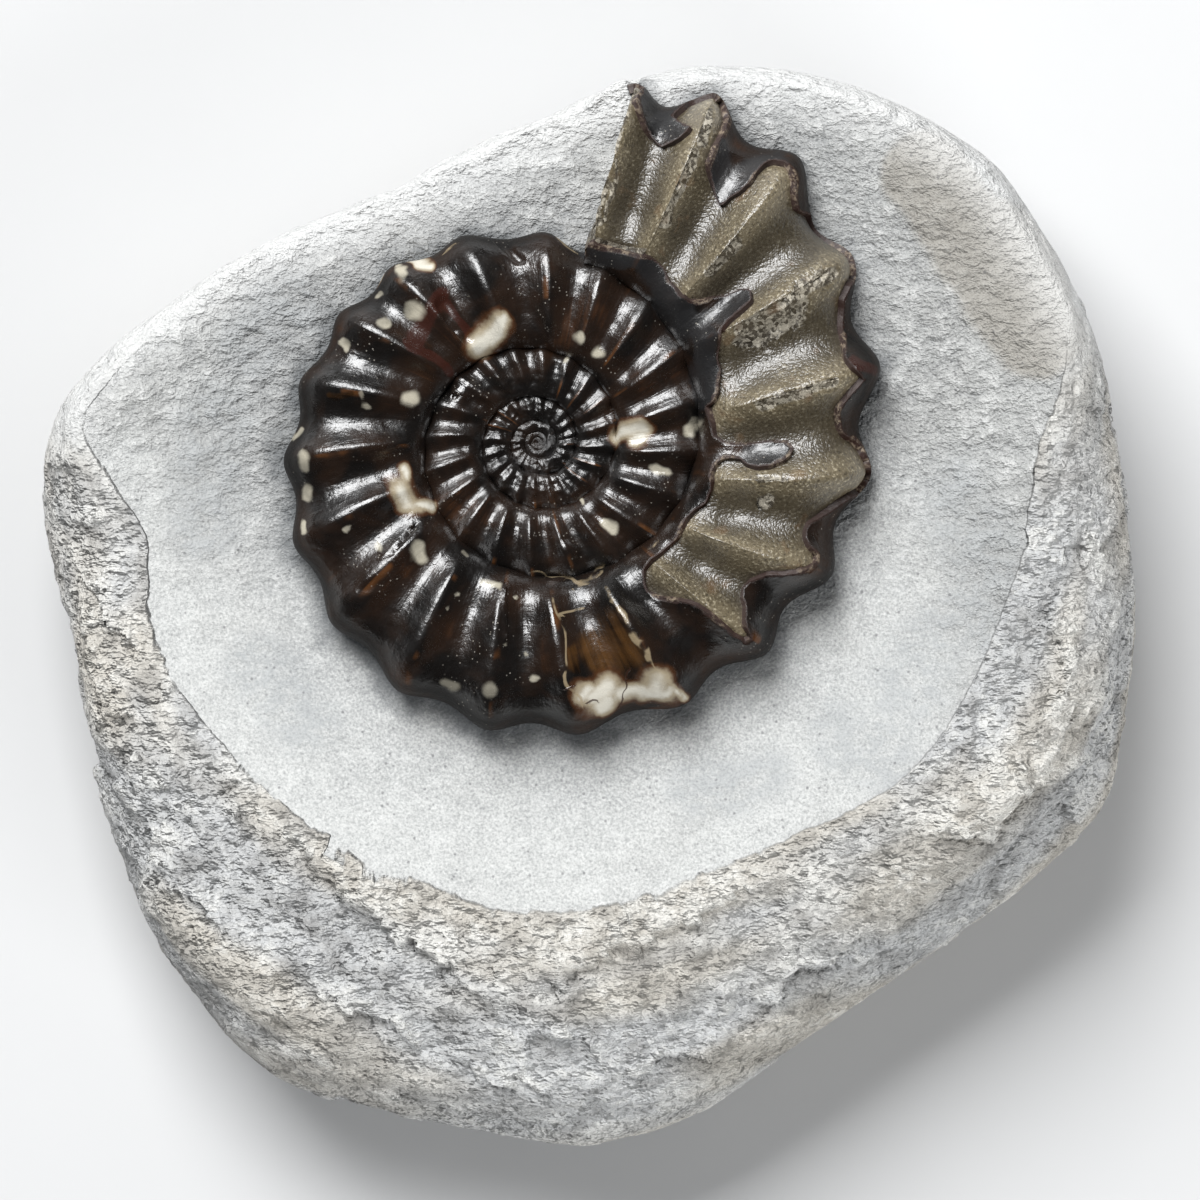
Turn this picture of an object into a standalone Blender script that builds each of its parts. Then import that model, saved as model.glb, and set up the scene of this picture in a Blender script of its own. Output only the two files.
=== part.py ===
"""An ammonite fossil lying face up in the dish of its limestone nodule.

The nodule rests on a flat base at z = 0, and +Y is the way the ammonite's open end points.
The ammonite is one ribbed tube that grows by the same factor each turn. The shell is that
tube, the mould of its body chamber is the same tube one skin smaller, and the pocket in the
nodule is the same tube one gap larger. Sizes are in millimetres, and MM makes them metres.
"""

import math

import bmesh
import bpy
import numpy as np
from mathutils import Vector, noise

MM = 0.001

# Nodule: its outline from above and the edge of the cleaned dish, each a closed line (x, y)
OUTLINE = [
    (52.6, 1.9), (50.9, 17.1), (49.0, 24.7), (46.2, 31.3), (42.9, 37.0), (39.5, 42.2),
    (31.9, 47.5), (23.8, 50.8), (17.0, 52.0), (9.6, 51.9), (2.5, 49.8), (-4.2, 47.3),
    (-11.3, 44.6), (-18.0, 40.8), (-24.6, 38.1), (-32.2, 34.6), (-40.3, 29.4), (-46.5, 24.7),
    (-51.0, 19.4), (-52.6, 13.3), (-52.2, 6.6), (-50.4, -1.0), (-48.8, -8.6), (-46.0, -21.9),
    (-40.8, -33.3), (-36.5, -39.0), (-32.2, -43.6), (-28.4, -46.1), (-19.9, -48.5),
    (-10.4, -50.1), (-1.8, -51.8), (4.8, -50.7), (9.6, -49.0), (20.0, -41.8), (25.7, -37.6),
    (35.2, -31.4), (44.7, -23.8), (49.5, -19.0), (51.6, -8.6),
]
DISH_EDGE = [
    (40.9, 4.7), (41.9, 15.2), (44.7, 21.3), (45.2, 27.5), (41.0, 34.8), (37.2, 40.4),
    (30.6, 45.4), (22.8, 48.7), (9.8, 49.9), (3.0, 47.8), (-10.4, 42.6), (-23.4, 36.4),
    (-38.8, 27.8), (-44.6, 22.6), (-48.4, 17.6), (-45.5, 13.1), (-41.7, 7.0), (-41.7, 0.9),
    (-39.3, -6.7), (-32.2, -15.2), (-27.5, -19.5), (-18.0, -24.3), (-8.5, -28.1),
    (-2.3, -28.3), (10.5, -24.3), (20.0, -20.9), (29.5, -16.2), (34.3, -10.5), (39.0, -1.0),
]
EQUATOR_Z = 13.5
UNDERSIDE = [(0.70, 0.0), (0.88, 3.2), (0.975, 8.2)]
BAND_STEPS = [0.0, 0.2, 0.4, 0.6, 0.8, 1.0]
BAND_ROUNDNESS = 2.3
DISH_STEPS = [0.93, 0.80, 0.62, 0.35]
DISH_FLOOR_Z = 21.4
DISH_FLAT_RADIUS = 28.0
DISH_RISE = 0.062
DISH_RISE_POWER = 1.5
NODULE_SEGMENTS = 72
ROUGHNESS = 0.55
LEDGE_DEPTH = 1.3
LEDGE_PITCH = 9.0
LEDGE_SLANT = 25.0
SEED = 7

# Ammonite: a whorl's outer radius grows by GROWTH in each turn of 360 degrees
CENTRE = (-4.85, 15.8, 23.5)
VENTER_RADIUS = 33.3
VENTER_ANGLE = 14.0
GROWTH = 2.04
APERTURE = 76.0
LAST_WHORL = -300.0
SMOOTH_UNTIL = -860.0
FIRST_ANGLE = -1290.0
FIRST_CHAMBER_RADIUS = 2.4
SEAM_SHARE = 0.455
HALF_THICKNESS_SHARE = 0.252
SECTION_SQUARENESS = 2.35
RIB_DEPTH_SHARE = 0.046
FLANK_RIB_GAIN = 0.3
RIB_LEAN_ANGLES = [-60.0, -42.5, -24.4, -5.6, 12.5, 30.0, 47.5, 63.0, 76.0]
RIB_LEAN = [4.0, 3.5, 6.0, 7.0, 3.0, -1.0, 3.0, 3.0, 0.5]
RIB_CRESTS = [
    -272.5, -250.0, -230.0, -213.0, -194.4, -176.0, -157.5, -138.75, -119.4, -100.0,
    -82.0, -61.0, -42.5, -24.4, -5.6, 12.5, 30.0, 47.5, 63.0, 75.0,
]
INNER_RIB_SPACING = 18.0
SWELL_ANGLES = [-360.0, -290.0, -272.0, -119.0, -100.0, -82.0, -61.0, -5.0, 12.0, 30.0, 47.0, 63.0, 76.0]
SWELL = [1.03, 1.035, 1.055, 1.055, 1.04, 1.014, 0.99, 0.99, 1.0, 1.008, 1.03, 1.015, 0.962]
UPPER_SECTION = [0.0, 26.0, 52.0, 79.0, 108.0, 141.0, 180.0]
LOWER_SECTION = [-134.0, -86.0, -38.0]

# Room under the small inner whorls, which are thicker towards its rim
UMBILICUS_RADIUS = 17.4
UMBILICUS_SLOPE = 0.36
UMBILICUS_SIDES = 28

# Skin round the body chamber, and the hole broken in it, as (angle, share of the radius)
SKIN = 0.8
GAP = 0.3
CHAMBER_START = -54.0
WINDOW = [
    (-54.0, 0.61), (-48.5, 0.70), (-43.5, 0.88), (-35.0, 0.79), (-24.4, 0.95), (-16.5, 0.85),
    (-5.6, 0.99), (4.0, 0.86), (12.3, 0.98), (19.0, 0.90), (27.0, 1.04), (33.0, 1.04),
    (39.5, 0.93), (43.0, 1.06), (49.5, 1.06), (53.0, 0.78), (57.0, 0.94), (61.0, 1.05),
    (65.0, 1.05), (67.7, 0.81), (72.0, 1.04), (79.0, 1.04), (79.0, 0.50), (65.0, 0.55),
    (46.0, 0.54), (40.0, 0.60), (34.5, 0.69), (31.0, 0.60), (22.5, 0.56), (12.0, 0.515),
    (0.6, 0.52), (-3.0, 0.75), (-7.5, 0.55), (-18.8, 0.54), (-33.0, 0.52), (-47.5, 0.53),
]

# Finishes: base colour, roughness, metallic
FINISHES = {
    "limestone": ((0.47, 0.47, 0.46, 1.0), 0.9, 0.0),
    "calcite_shell": ((0.022, 0.014, 0.011, 1.0), 0.18, 0.0),
    "sediment_mould": ((0.17, 0.145, 0.105, 1.0), 0.5, 0.0),
}


def clear_scene():
    for item in list(bpy.data.objects):
        bpy.data.objects.remove(item, do_unlink=True)


def make_collection(name):
    group = bpy.data.collections.new(name)
    bpy.context.scene.collection.children.link(group)
    return group


def make_finish(name):
    """A Principled material from the FINISHES table."""
    colour, roughness, metallic = FINISHES[name]
    material = bpy.data.materials.new(name)
    material.use_nodes = True
    shader = material.node_tree.nodes["Principled BSDF"]
    shader.inputs["Base Color"].default_value = colour
    shader.inputs["Roughness"].default_value = roughness
    shader.inputs["Metallic"].default_value = metallic
    material.diffuse_color = colour
    return material


def loft(name, rings, group):
    """A closed tube through rings of points in mm, with a cap at each end.

    All tubes split their squares along the same diagonal, so that one fits inside another.
    """
    mesh = bmesh.new()
    rows = [[mesh.verts.new(np.asarray(point) * MM) for point in ring] for ring in rings]
    count = len(rows[0])
    for low, high in zip(rows, rows[1:]):
        for i in range(count):
            j = (i + 1) % count
            mesh.faces.new((low[i], low[j], high[j]))
            mesh.faces.new((low[i], high[j], high[i]))
    mesh.faces.new(rows[0])
    mesh.faces.new(rows[-1])
    bmesh.ops.recalc_face_normals(mesh, faces=mesh.faces)
    data = bpy.data.meshes.new(name)
    mesh.to_mesh(data)
    mesh.free()
    item = bpy.data.objects.new(name, data)
    group.objects.link(item)
    return item


def mark_cutter(item):
    item.hide_render = True
    item.display_type = "WIRE"


def boolean(item, other, operation, self_crossing=False):
    """Adds an exact Boolean modifier that cuts item with other, or joins them."""
    modifier = item.modifiers.new(operation.title() + " " + other.name, "BOOLEAN")
    modifier.object = other
    modifier.operation = operation
    modifier.solver = "EXACT"
    modifier.use_self = self_crossing


def radius_of(line):
    """Turns a closed line (x, y) into a function: the line's radius at any angle."""
    points = np.array(line)
    angles = np.degrees(np.arctan2(points[:, 1], points[:, 0]))
    order = np.argsort(angles)
    angles = angles[order]
    radii = np.hypot(points[:, 0], points[:, 1])[order]

    def radius(angle):
        wrapped = (angle + 180.0) % 360.0 - 180.0
        return float(np.interp(wrapped, angles, radii, period=360.0))

    return radius


def ledge(x, y, z):
    """Broken stone steps down in slanting beds: a sawtooth, roughened by smooth noise."""
    slant = math.radians(LEDGE_SLANT)
    across = (-x * math.sin(slant) + y * math.cos(slant) + 0.8 * z) / LEDGE_PITCH
    across += 1.4 * noise.noise(Vector((x, y, z)) / 17.0)
    return LEDGE_DEPTH * ((across % 1.0) - 0.5)


def dish_height(x, y):
    """The dish is flat round the ammonite and curves up towards its edge."""
    distance = math.hypot(x - CENTRE[0], y - CENTRE[1])
    return DISH_FLOOR_Z + DISH_RISE * max(0.0, distance - DISH_FLAT_RADIUS) ** DISH_RISE_POWER


def nodule_rings(chance):
    """Rings of the nodule from the base, up its side and the broken band, into the dish."""
    outline = radius_of(OUTLINE)
    dish_edge = radius_of(DISH_EDGE)
    angles = [360.0 * i / NODULE_SEGMENTS for i in range(NODULE_SEGMENTS)]
    rings = []

    def ring(place):
        points = []
        for angle in angles:
            radius, height = place(angle)
            turn = math.radians(angle)
            points.append((radius * math.cos(turn), radius * math.sin(turn), height))
        rings.append(points)

    for share, height in UNDERSIDE:
        lump = 0.0 if height == 0.0 else ROUGHNESS
        ring(lambda angle: (share * outline(angle) + lump * chance.uniform(-1.0, 0.6), height))
    for step in reversed(BAND_STEPS):

        def band_place(angle):
            turn = math.radians(angle)
            inner, outer = dish_edge(angle), outline(angle)
            radius = inner + step * (outer - inner)
            edge_z = dish_height(inner * math.cos(turn), inner * math.sin(turn))
            drop = (1.0 - step ** BAND_ROUNDNESS) ** (1.0 / BAND_ROUNDNESS)
            height = EQUATOR_Z + (edge_z - EQUATOR_Z) * drop
            if 0.0 < step < 1.0:
                broken = ledge(radius * math.cos(turn), radius * math.sin(turn), height)
                broken += ROUGHNESS * chance.uniform(-1.0, 0.7)
                height += broken * min(1.0, (outer - inner) / 8.0)
            return radius, height

        ring(band_place)
    for step in DISH_STEPS:

        def dish_place(angle):
            turn = math.radians(angle)
            radius = step * dish_edge(angle)
            return radius, dish_height(radius * math.cos(turn), radius * math.sin(turn))

        ring(dish_place)
    return rings


def venter_radius(angle):
    return VENTER_RADIUS * GROWTH ** ((angle - VENTER_ANGLE) / 360.0)


def rib_phase(angle):
    """Counts the ribs: a whole number on each crest."""
    if angle < RIB_CRESTS[0]:
        return (angle - RIB_CRESTS[0]) / INNER_RIB_SPACING
    if angle > RIB_CRESTS[-1]:
        return len(RIB_CRESTS) - 1 + (angle - RIB_CRESTS[-1]) / (RIB_CRESTS[-1] - RIB_CRESTS[-2])
    return float(np.interp(angle, RIB_CRESTS, range(len(RIB_CRESTS))))


def rib_angle(phase):
    """The angle at which the rib count reaches a phase."""
    if phase < 0.0:
        return RIB_CRESTS[0] + phase * INNER_RIB_SPACING
    return float(np.interp(phase, range(len(RIB_CRESTS)), RIB_CRESTS))


def fade(low, high, value):
    share = min(1.0, max(0.0, (value - low) / (high - low)))
    return share * share * (3.0 - 2.0 * share)


def whorl_ring(angle, grow=0.0):
    """The tube's cross section where its outer side is at an angle, larger by grow mm."""
    size = venter_radius(angle)
    outer = size * float(np.interp(angle, SWELL_ANGLES, SWELL))
    inner = size * SEAM_SHARE
    middle, half_width = (outer + inner) / 2.0, (outer - inner) / 2.0
    half_height = size * HALF_THICKNESS_SHARE
    furrow = size * RIB_DEPTH_SHARE * (0.5 - 0.5 * math.cos(2.0 * math.pi * rib_phase(angle)))
    lean = float(np.interp(angle, RIB_LEAN_ANGLES, RIB_LEAN))
    points = []
    for section in UPPER_SECTION + LOWER_SECTION:
        turn = math.radians(section)
        power = 2.0 / SECTION_SQUARENESS
        out = math.copysign(abs(math.cos(turn)) ** power, math.cos(turn))
        up = math.copysign(abs(math.sin(turn)) ** power, math.sin(turn))
        shrink = grow - furrow * fade(-0.95, -0.45, out) * (1.0 + FLANK_RIB_GAIN * abs(up))
        length = math.hypot(out * half_width, up * half_height)
        stretch = 1.0 + shrink / length
        radius = middle + out * half_width * stretch
        around = math.radians(angle - lean * (1.0 - out) / 2.0)
        x = CENTRE[0] + radius * math.cos(around)
        y = CENTRE[1] + radius * math.sin(around)
        points.append((x, y, CENTRE[2] + up * half_height * stretch))
    return points


def tube_angles(start, end, per_rib):
    """Angles of the rings from start to end, with per_rib of them on each rib."""
    first = math.ceil(rib_phase(start) * per_rib + 0.2)
    last = math.floor(rib_phase(end) * per_rib - 0.2)
    inside = [rib_angle(i / per_rib) for i in range(first, last + 1)]
    return [start] + inside + [end]


def build_ammonite_tube(name, group):
    """The whole tube, with fewer rings on the smaller whorls."""
    angles = tube_angles(FIRST_ANGLE, SMOOTH_UNTIL, 1)
    angles += tube_angles(SMOOTH_UNTIL, LAST_WHORL, 2)[1:]
    angles += tube_angles(LAST_WHORL, APERTURE, 4)[1:]
    return loft(name, [whorl_ring(angle) for angle in angles], group)


def build_first_chamber(group):
    """A small ball in the middle, where the tube starts."""
    mesh = bmesh.new()
    bmesh.ops.create_uvsphere(mesh, u_segments=8, v_segments=5, radius=FIRST_CHAMBER_RADIUS * MM)
    data = bpy.data.meshes.new("first_chamber")
    mesh.to_mesh(data)
    mesh.free()
    item = bpy.data.objects.new("first_chamber", data)
    item.location = Vector(CENTRE) * MM
    group.objects.link(item)
    return item


def build_window_cutter(group):
    """A tall prism over the hole in the skin."""
    floor, top = CENTRE[2] - 1.3, CENTRE[2] + 14.0
    outline = []
    for angle, share in WINDOW:
        radius = share * venter_radius(angle)
        turn = math.radians(angle)
        outline.append((CENTRE[0] + radius * math.cos(turn), CENTRE[1] + radius * math.sin(turn)))
    rings = [[(x, y, z) for x, y in outline] for z in (floor, top)]
    return loft("window_cutter", rings, group)


def build_umbilicus_cutter(group):
    """Room for the small inner whorls: a round plug with a cone-shaped underside."""
    middle_z = CENTRE[2] - FIRST_CHAMBER_RADIUS - 2.0 * GAP
    rim_z = CENTRE[2] - UMBILICUS_SLOPE * UMBILICUS_RADIUS - 4.0 * GAP
    rings = []
    for radius, height in (
        (FIRST_CHAMBER_RADIUS, middle_z),
        (UMBILICUS_RADIUS, rim_z),
        (UMBILICUS_RADIUS, CENTRE[2] + 4.0),
    ):
        turns = [2.0 * math.pi * i / UMBILICUS_SIDES for i in range(UMBILICUS_SIDES)]
        rings.append(
            [(CENTRE[0] + radius * math.cos(t), CENTRE[1] + radius * math.sin(t), height) for t in turns]
        )
    return loft("umbilicus_cutter", rings, group)


def main():
    clear_scene()
    parts = make_collection("ammonite_fossil")
    cutters = make_collection("cutters")
    chance = np.random.default_rng(SEED)

    matrix = loft("matrix", nodule_rings(chance), parts)
    pocket_angles = tube_angles(LAST_WHORL, APERTURE, 4) + [APERTURE + 1.0]
    pocket = loft("pocket_cutter", [whorl_ring(a, GAP) for a in pocket_angles], cutters)
    umbilicus = build_umbilicus_cutter(cutters)
    boolean(matrix, umbilicus, "DIFFERENCE")
    boolean(matrix, pocket, "DIFFERENCE", self_crossing=True)

    shell = build_ammonite_tube("shell", parts)
    first_chamber = build_first_chamber(cutters)
    boolean(shell, first_chamber, "UNION", self_crossing=True)
    core_angles = tube_angles(CHAMBER_START, APERTURE, 4)
    room_angles = [CHAMBER_START - 2.0] + core_angles + [APERTURE + 2.0]
    room = loft("chamber_cutter", [whorl_ring(a, -SKIN) for a in room_angles], cutters)
    window = build_window_cutter(cutters)
    boolean(shell, room, "DIFFERENCE")
    boolean(shell, window, "DIFFERENCE")

    mould_rings = [whorl_ring(a, -SKIN - GAP) for a in core_angles]
    mould = loft("body_chamber_mould", mould_rings, parts)

    for cutter in (pocket, umbilicus, first_chamber, room, window):
        mark_cutter(cutter)
    for item, finish in ((matrix, "limestone"), (shell, "calcite_shell"), (mould, "sediment_mould")):
        item.data.materials.append(make_finish(finish))


main()
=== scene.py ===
# %% [markdown]
# # An ammonite in its limestone nodule
#
# The object is a cleaned fossil: a grey limestone nodule, a dish worked into its top, and in
# the dish a ribbed ammonite. Most of the ammonite is dark polished calcite. Round its body
# chamber the dark skin has flaked off, and shows the khaki mud that once filled the chamber.
#
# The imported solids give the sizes. This script puts three finely modelled pieces in their
# place, one for each solid, and gives each a finish made only of shader nodes. Such a thing is
# often sculpted by hand. Here each form comes from a rule and a few numbers instead, so every
# step can be read, changed and run again.

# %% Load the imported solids
import math

import bpy
import numpy as np
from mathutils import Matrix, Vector


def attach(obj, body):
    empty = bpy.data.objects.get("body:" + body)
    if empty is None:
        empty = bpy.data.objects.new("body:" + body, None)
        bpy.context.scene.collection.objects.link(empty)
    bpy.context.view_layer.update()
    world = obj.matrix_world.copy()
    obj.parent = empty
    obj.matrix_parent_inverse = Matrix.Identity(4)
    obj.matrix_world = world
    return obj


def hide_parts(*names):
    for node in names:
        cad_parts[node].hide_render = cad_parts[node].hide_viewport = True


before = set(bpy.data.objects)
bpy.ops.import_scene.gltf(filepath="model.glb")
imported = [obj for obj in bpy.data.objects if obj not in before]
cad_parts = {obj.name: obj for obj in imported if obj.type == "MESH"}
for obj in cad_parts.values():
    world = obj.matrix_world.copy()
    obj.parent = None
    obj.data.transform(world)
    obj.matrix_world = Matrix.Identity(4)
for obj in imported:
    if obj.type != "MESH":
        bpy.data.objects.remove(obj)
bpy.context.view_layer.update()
MM = 0.001
print("solids:", sorted(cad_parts))

# %% [markdown]
# ## Rough stone needs repeatable chance
#
# Broken stone is lumps on lumps. Blender's noise functions take one point at a time, which
# is slow for a fine mesh, so the noise here is worked out for whole arrays of points. Every
# corner of a cubic lattice gets its own number from a hash, and the numbers are blended
# between the corners. The same point always gives the same height, on every run.

# %% Smooth noise
HASH_STEPS = (73856093, 19349663, 83492791, 49979687)
HASH_MIXES = ((15, 2246822519), (13, 3266489917))
LAST_SHIFT, WORD, HALF_WORD = 16, 0xFFFFFFFF, 2147483648.0
OCTAVE_TURN = np.array(((0.80, 0.60, 0.0), (-0.48, 0.64, 0.60), (0.36, -0.48, 0.80)))


def corner_value(corner, seed):
    """A number from -1 to 1 for each whole-number corner (..., 3) of space."""
    mixed = np.full(corner.shape[:-1], seed * HASH_STEPS[3], dtype=np.int64)
    for axis in range(3):
        mixed ^= corner[..., axis].astype(np.int64) * HASH_STEPS[axis]
    mixed &= WORD
    for shift, factor in HASH_MIXES:
        mixed = ((mixed ^ (mixed >> shift)) * factor) & WORD
    return (mixed ^ (mixed >> LAST_SHIFT)) / HALF_WORD - 1.0


def vector_noise(values, points, seed):
    """Three numbers for each point, from three seeds in a row."""
    return np.stack([values(points, seed + k) for k in range(3)], axis=-1)


def smooth_noise(points, size, seed):
    """Soft lumps about size wide, from -1 to 1."""
    cell = points / size
    low = np.floor(cell)
    share = cell - low
    share = share * share * share * (share * (share * 6.0 - 15.0) + 10.0)
    total = 0.0
    for step in np.ndindex(2, 2, 2):
        weight = np.prod(np.where(step, share, 1.0 - share), axis=-1)
        total = total + weight * corner_value(low + step, seed)
    return total


def layered_noise(points, size, octaves, seed, ridged=False):
    """Lumps of several sizes, each half as big as the last and turned a little."""
    total, weight, reach = 0.0, 1.0, 0.0
    for octave in range(octaves):
        value = smooth_noise(points, size, seed + octave)
        total = total + weight * (1.0 - 2.0 * np.abs(value) if ridged else value)
        reach += weight
        weight *= 0.5
        size *= 0.5
        points = points @ OCTAVE_TURN
    return total / reach


def wavy(points, size, reach, seed):
    """Points pushed about by noise, so that what is measured at them is uneven."""
    return points + reach * vector_noise(lambda at, k: smooth_noise(at, size, k), points, seed)


print("noise at one corner:", np.round(corner_value(np.zeros((1, 3)), 1), 4))

# %% [markdown]
# Limestone breaks in flat flakes, not in soft lumps. A cellular pattern gives flakes: space is
# divided among scattered points, and the stone round each point is a plane with a tilt of its
# own. Where two planes meet, the surface has a sharp edge or a small step.

# %% Flat flakes
def flakes(points, size, seed):
    """Heights of tilted flat facets about size wide, roughly from -1 to 1."""
    cell = points / size
    low = np.floor(cell)
    nearest = np.full(cell.shape[:-1], np.inf)
    height = np.zeros(cell.shape[:-1])
    for step in np.ndindex(3, 3, 3):
        corner = low + step - 1.0
        gap = cell - corner - 0.5 - 0.5 * vector_noise(corner_value, corner, seed)
        distance = (gap * gap).sum(axis=-1)
        closer = distance < nearest
        if not closer.any():
            continue
        tilt = vector_noise(corner_value, corner, seed + 3)
        nearest = np.where(closer, distance, nearest)
        height = np.where(closer, (gap * tilt).sum(axis=-1), height)
    return height


print("height of a flake at one point:", np.round(flakes(np.ones((1, 3)), 2.0, 1), 4))

# %% [markdown]
# ## The shape of the ammonite
#
# An ammonite is one tube wound in a flat coil. A screw modifier could wind it, but it can't
# make each turn GROWTH times as large as the turn inside it. A power of the angle can, and one
# such rule gives every whorl. The real tube swells and narrows a little on its way, which a
# short list of shares adds. All lengths are in millimetres until a mesh is made. An angle of 0
# points right and 90 points up in the view from above, and the tube ends at APERTURE.

# %% The growth rule
CENTRE = np.array((-4.85, 15.8, 23.5))
VENTER_RADIUS, VENTER_ANGLE = 33.3, 14.0
GROWTH = 2.04
FIRST_ANGLE, APERTURE = -2700.0, 76.0
SEAM_SHARE = 0.455
THICKNESS_ANGLES, THICKNESS = [-60.0, 15.0, 76.0], [0.252, 0.240, 0.216]
SECTION_SQUARENESS = 2.35
SWELL_ANGLES, SWELL = zip(
    (-360.0, 1.03), (-290.0, 1.035), (-272.0, 1.055), (-119.0, 1.055), (-100.0, 1.04),
    (-82.0, 1.014), (-61.0, 0.99), (-5.0, 0.99), (12.0, 1.0), (30.0, 1.008), (47.0, 1.03),
    (63.0, 1.012), (76.0, 0.938),
)


def venter_radius(angle):
    """Distance from the centre of the coil to the tube's outer side."""
    return VENTER_RADIUS * GROWTH ** ((angle - VENTER_ANGLE) / 360.0)


def fade(low, high, value):
    """Goes smoothly from 0 at low to 1 at high."""
    share = np.clip((value - low) / (high - low), 0.0, 1.0)
    return share * share * (3.0 - 2.0 * share)


def section_box(angle):
    """Middle radius and half width of the tube's section, before its ribs."""
    size = venter_radius(angle)
    outer, inner = size * np.interp(angle, SWELL_ANGLES, SWELL), size * SEAM_SHARE
    return (outer + inner) / 2.0, (outer - inner) / 2.0


turn_angles = VENTER_ANGLE - 360.0 * np.arange(5)
print("radius of each turn:", np.round(venter_radius(turn_angles), 1))

# %% [markdown]
# The ribs aren't quite even, so the crests of the last whorl are a list of angles. Between two
# crests the rib count goes up by one, and a wave of the count makes the furrow. A rib is sharp
# on the flank and rounder on the outer side, where it ends in a blunt point. The ribs of the
# body chamber are the deepest, and those near the centre are worn.

# %% The ribs
RIB_CRESTS = [
    -272.5, -250.0, -230.0, -213.0, -194.4, -176.0, -157.5, -138.75, -119.4, -100.0,
    -82.0, -61.0, -42.5, -24.4, -5.6, 12.5, 30.0, 47.5, 63.0, 75.0,
]
INNER_RIB_SPACING, LAST_RIB_SPACING = 18.0, 12.0
DEPTH_ANGLES, DEPTH_SHARES = zip(
    (-1500.0, 0.020), (-1000.0, 0.036), (-560.0, 0.045), (-70.0, 0.045), (-35.0, 0.061),
)
FLANK_RIB_GAIN = 0.3
FLANK_CREST_WIDTH, VENTER_CREST_WIDTH, MOULD_CREST_WIDTH = 0.28, 0.85, 0.50
VENTER_FROM, RIBS_FROM = (0.5, 1.0), (-0.95, -0.45)


def rib_count(angle):
    """Counts the ribs along the tube: a whole number on each crest."""
    count = np.interp(angle, RIB_CRESTS, range(len(RIB_CRESTS)))
    before = (angle - RIB_CRESTS[0]) / INNER_RIB_SPACING
    after = len(RIB_CRESTS) - 1 + (angle - RIB_CRESTS[-1]) / LAST_RIB_SPACING
    count = np.where(angle < RIB_CRESTS[0], before, count)
    return np.where(angle > RIB_CRESTS[-1], after, count)


def furrow_depth(angle, out, flank_width=FLANK_CREST_WIDTH):
    """How far the surface lies below the crests, in mm. On the outer side out is 1."""
    width = flank_width + (VENTER_CREST_WIDTH - flank_width) * fade(*VENTER_FROM, out)
    wave = np.abs(np.sin(np.pi * rib_count(angle)))
    shape = (np.hypot(wave, width) - width) / (np.hypot(1.0, width) - width)
    return venter_radius(angle) * np.interp(angle, DEPTH_ANGLES, DEPTH_SHARES) * shape


print("ribs on the last turn:", round(float(rib_count(APERTURE) - rib_count(APERTURE - 360.0)), 1))

# %% [markdown]
# One function gives any point of the tube. A section angle of 0 is the outer side, 90 the flank
# that faces the viewer, and 180 the inner side. A rib leans forward from the inner side to the
# outer by a few degrees, so the whole section leans with it, and the edges of the mesh run
# along the ribs.

# %% Points of the tube
LEAN_ANGLES, LEAN = zip(
    (-60.0, 4.0), (-42.5, 3.5), (-24.4, 6.0), (-5.6, 7.0), (12.5, 3.0), (30.0, -1.0),
    (47.5, 3.0), (63.0, 3.0), (76.0, 0.5),
)


def tube(angle, section, flank_width=FLANK_CREST_WIDTH):
    """Distance from the coil's axis, angle round it and height over its mid-plane."""
    middle, half_width = section_box(angle)
    half_height = venter_radius(angle) * np.interp(angle, THICKNESS_ANGLES, THICKNESS)
    turn = np.radians(section)
    power = 2.0 / SECTION_SQUARENESS
    out = np.copysign(np.abs(np.cos(turn)) ** power, np.cos(turn))
    up = np.copysign(np.abs(np.sin(turn)) ** power, np.sin(turn))
    ribbed = fade(*RIBS_FROM, out) * (1.0 + FLANK_RIB_GAIN * np.abs(up))
    shrink = -furrow_depth(angle, out, flank_width) * ribbed
    stretch = 1.0 + shrink / np.hypot(out * half_width, up * half_height)
    radius = middle + out * half_width * stretch
    around = angle - np.interp(angle, LEAN_ANGLES, LEAN) * (1.0 - out) / 2.0
    return radius, around, up * half_height * stretch


def to_points(radius, around, height):
    """Turns distances, angles and heights into points (..., 3) in mm."""
    turn = np.radians(around)
    flat = np.stack([radius * np.cos(turn), radius * np.sin(turn), height], axis=-1)
    return flat + CENTRE


print("outermost point at the mouth:", np.round(to_points(*tube(APERTURE, 0.0)), 1), "mm")

# %% [markdown]
# Each whorl rests on the whorl inside it. Where the two meet, the tube has to stop being round
# and follow its neighbour, or the line between them would be ragged. The seam is found by
# halving: between the flank and the inner side there is one section angle at which the tube
# first touches the whorl inside.

# %% Where a whorl rests on the one inside it
SINK = 0.06
SEAM_BETWEEN, HALVINGS = (95.0, 179.0), 24


def inner_whorl_radius(around, height):
    """Radius of the outer side of the whorl one turn further in, at a height."""
    angle = around - 360.0
    middle, half_width = section_box(angle)
    furrow = furrow_depth(angle, 1.0)
    half_height = venter_radius(angle) * THICKNESS[0] - furrow
    share = np.clip(np.abs(height) / half_height, 0.0, 1.0)
    bulge = (1.0 - share ** SECTION_SQUARENESS) ** (1.0 / SECTION_SQUARENESS)
    return middle + (half_width - furrow) * bulge


def seam_section(angle):
    """The section angle at which the tube meets the whorl inside it."""
    low, high = (np.full_like(angle, bound) for bound in SEAM_BETWEEN)
    for _ in range(HALVINGS):
        centre = (low + high) / 2.0
        radius, around, height = tube(angle, centre)
        clear = radius > inner_whorl_radius(around, height) - SINK
        low, high = np.where(clear, centre, low), np.where(clear, high, centre)
    return low


seams = seam_section(np.array([-180.0, 0.0, 70.0]))
print("the last whorl meets the one inside it at sections", np.round(seams, 1))

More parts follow.
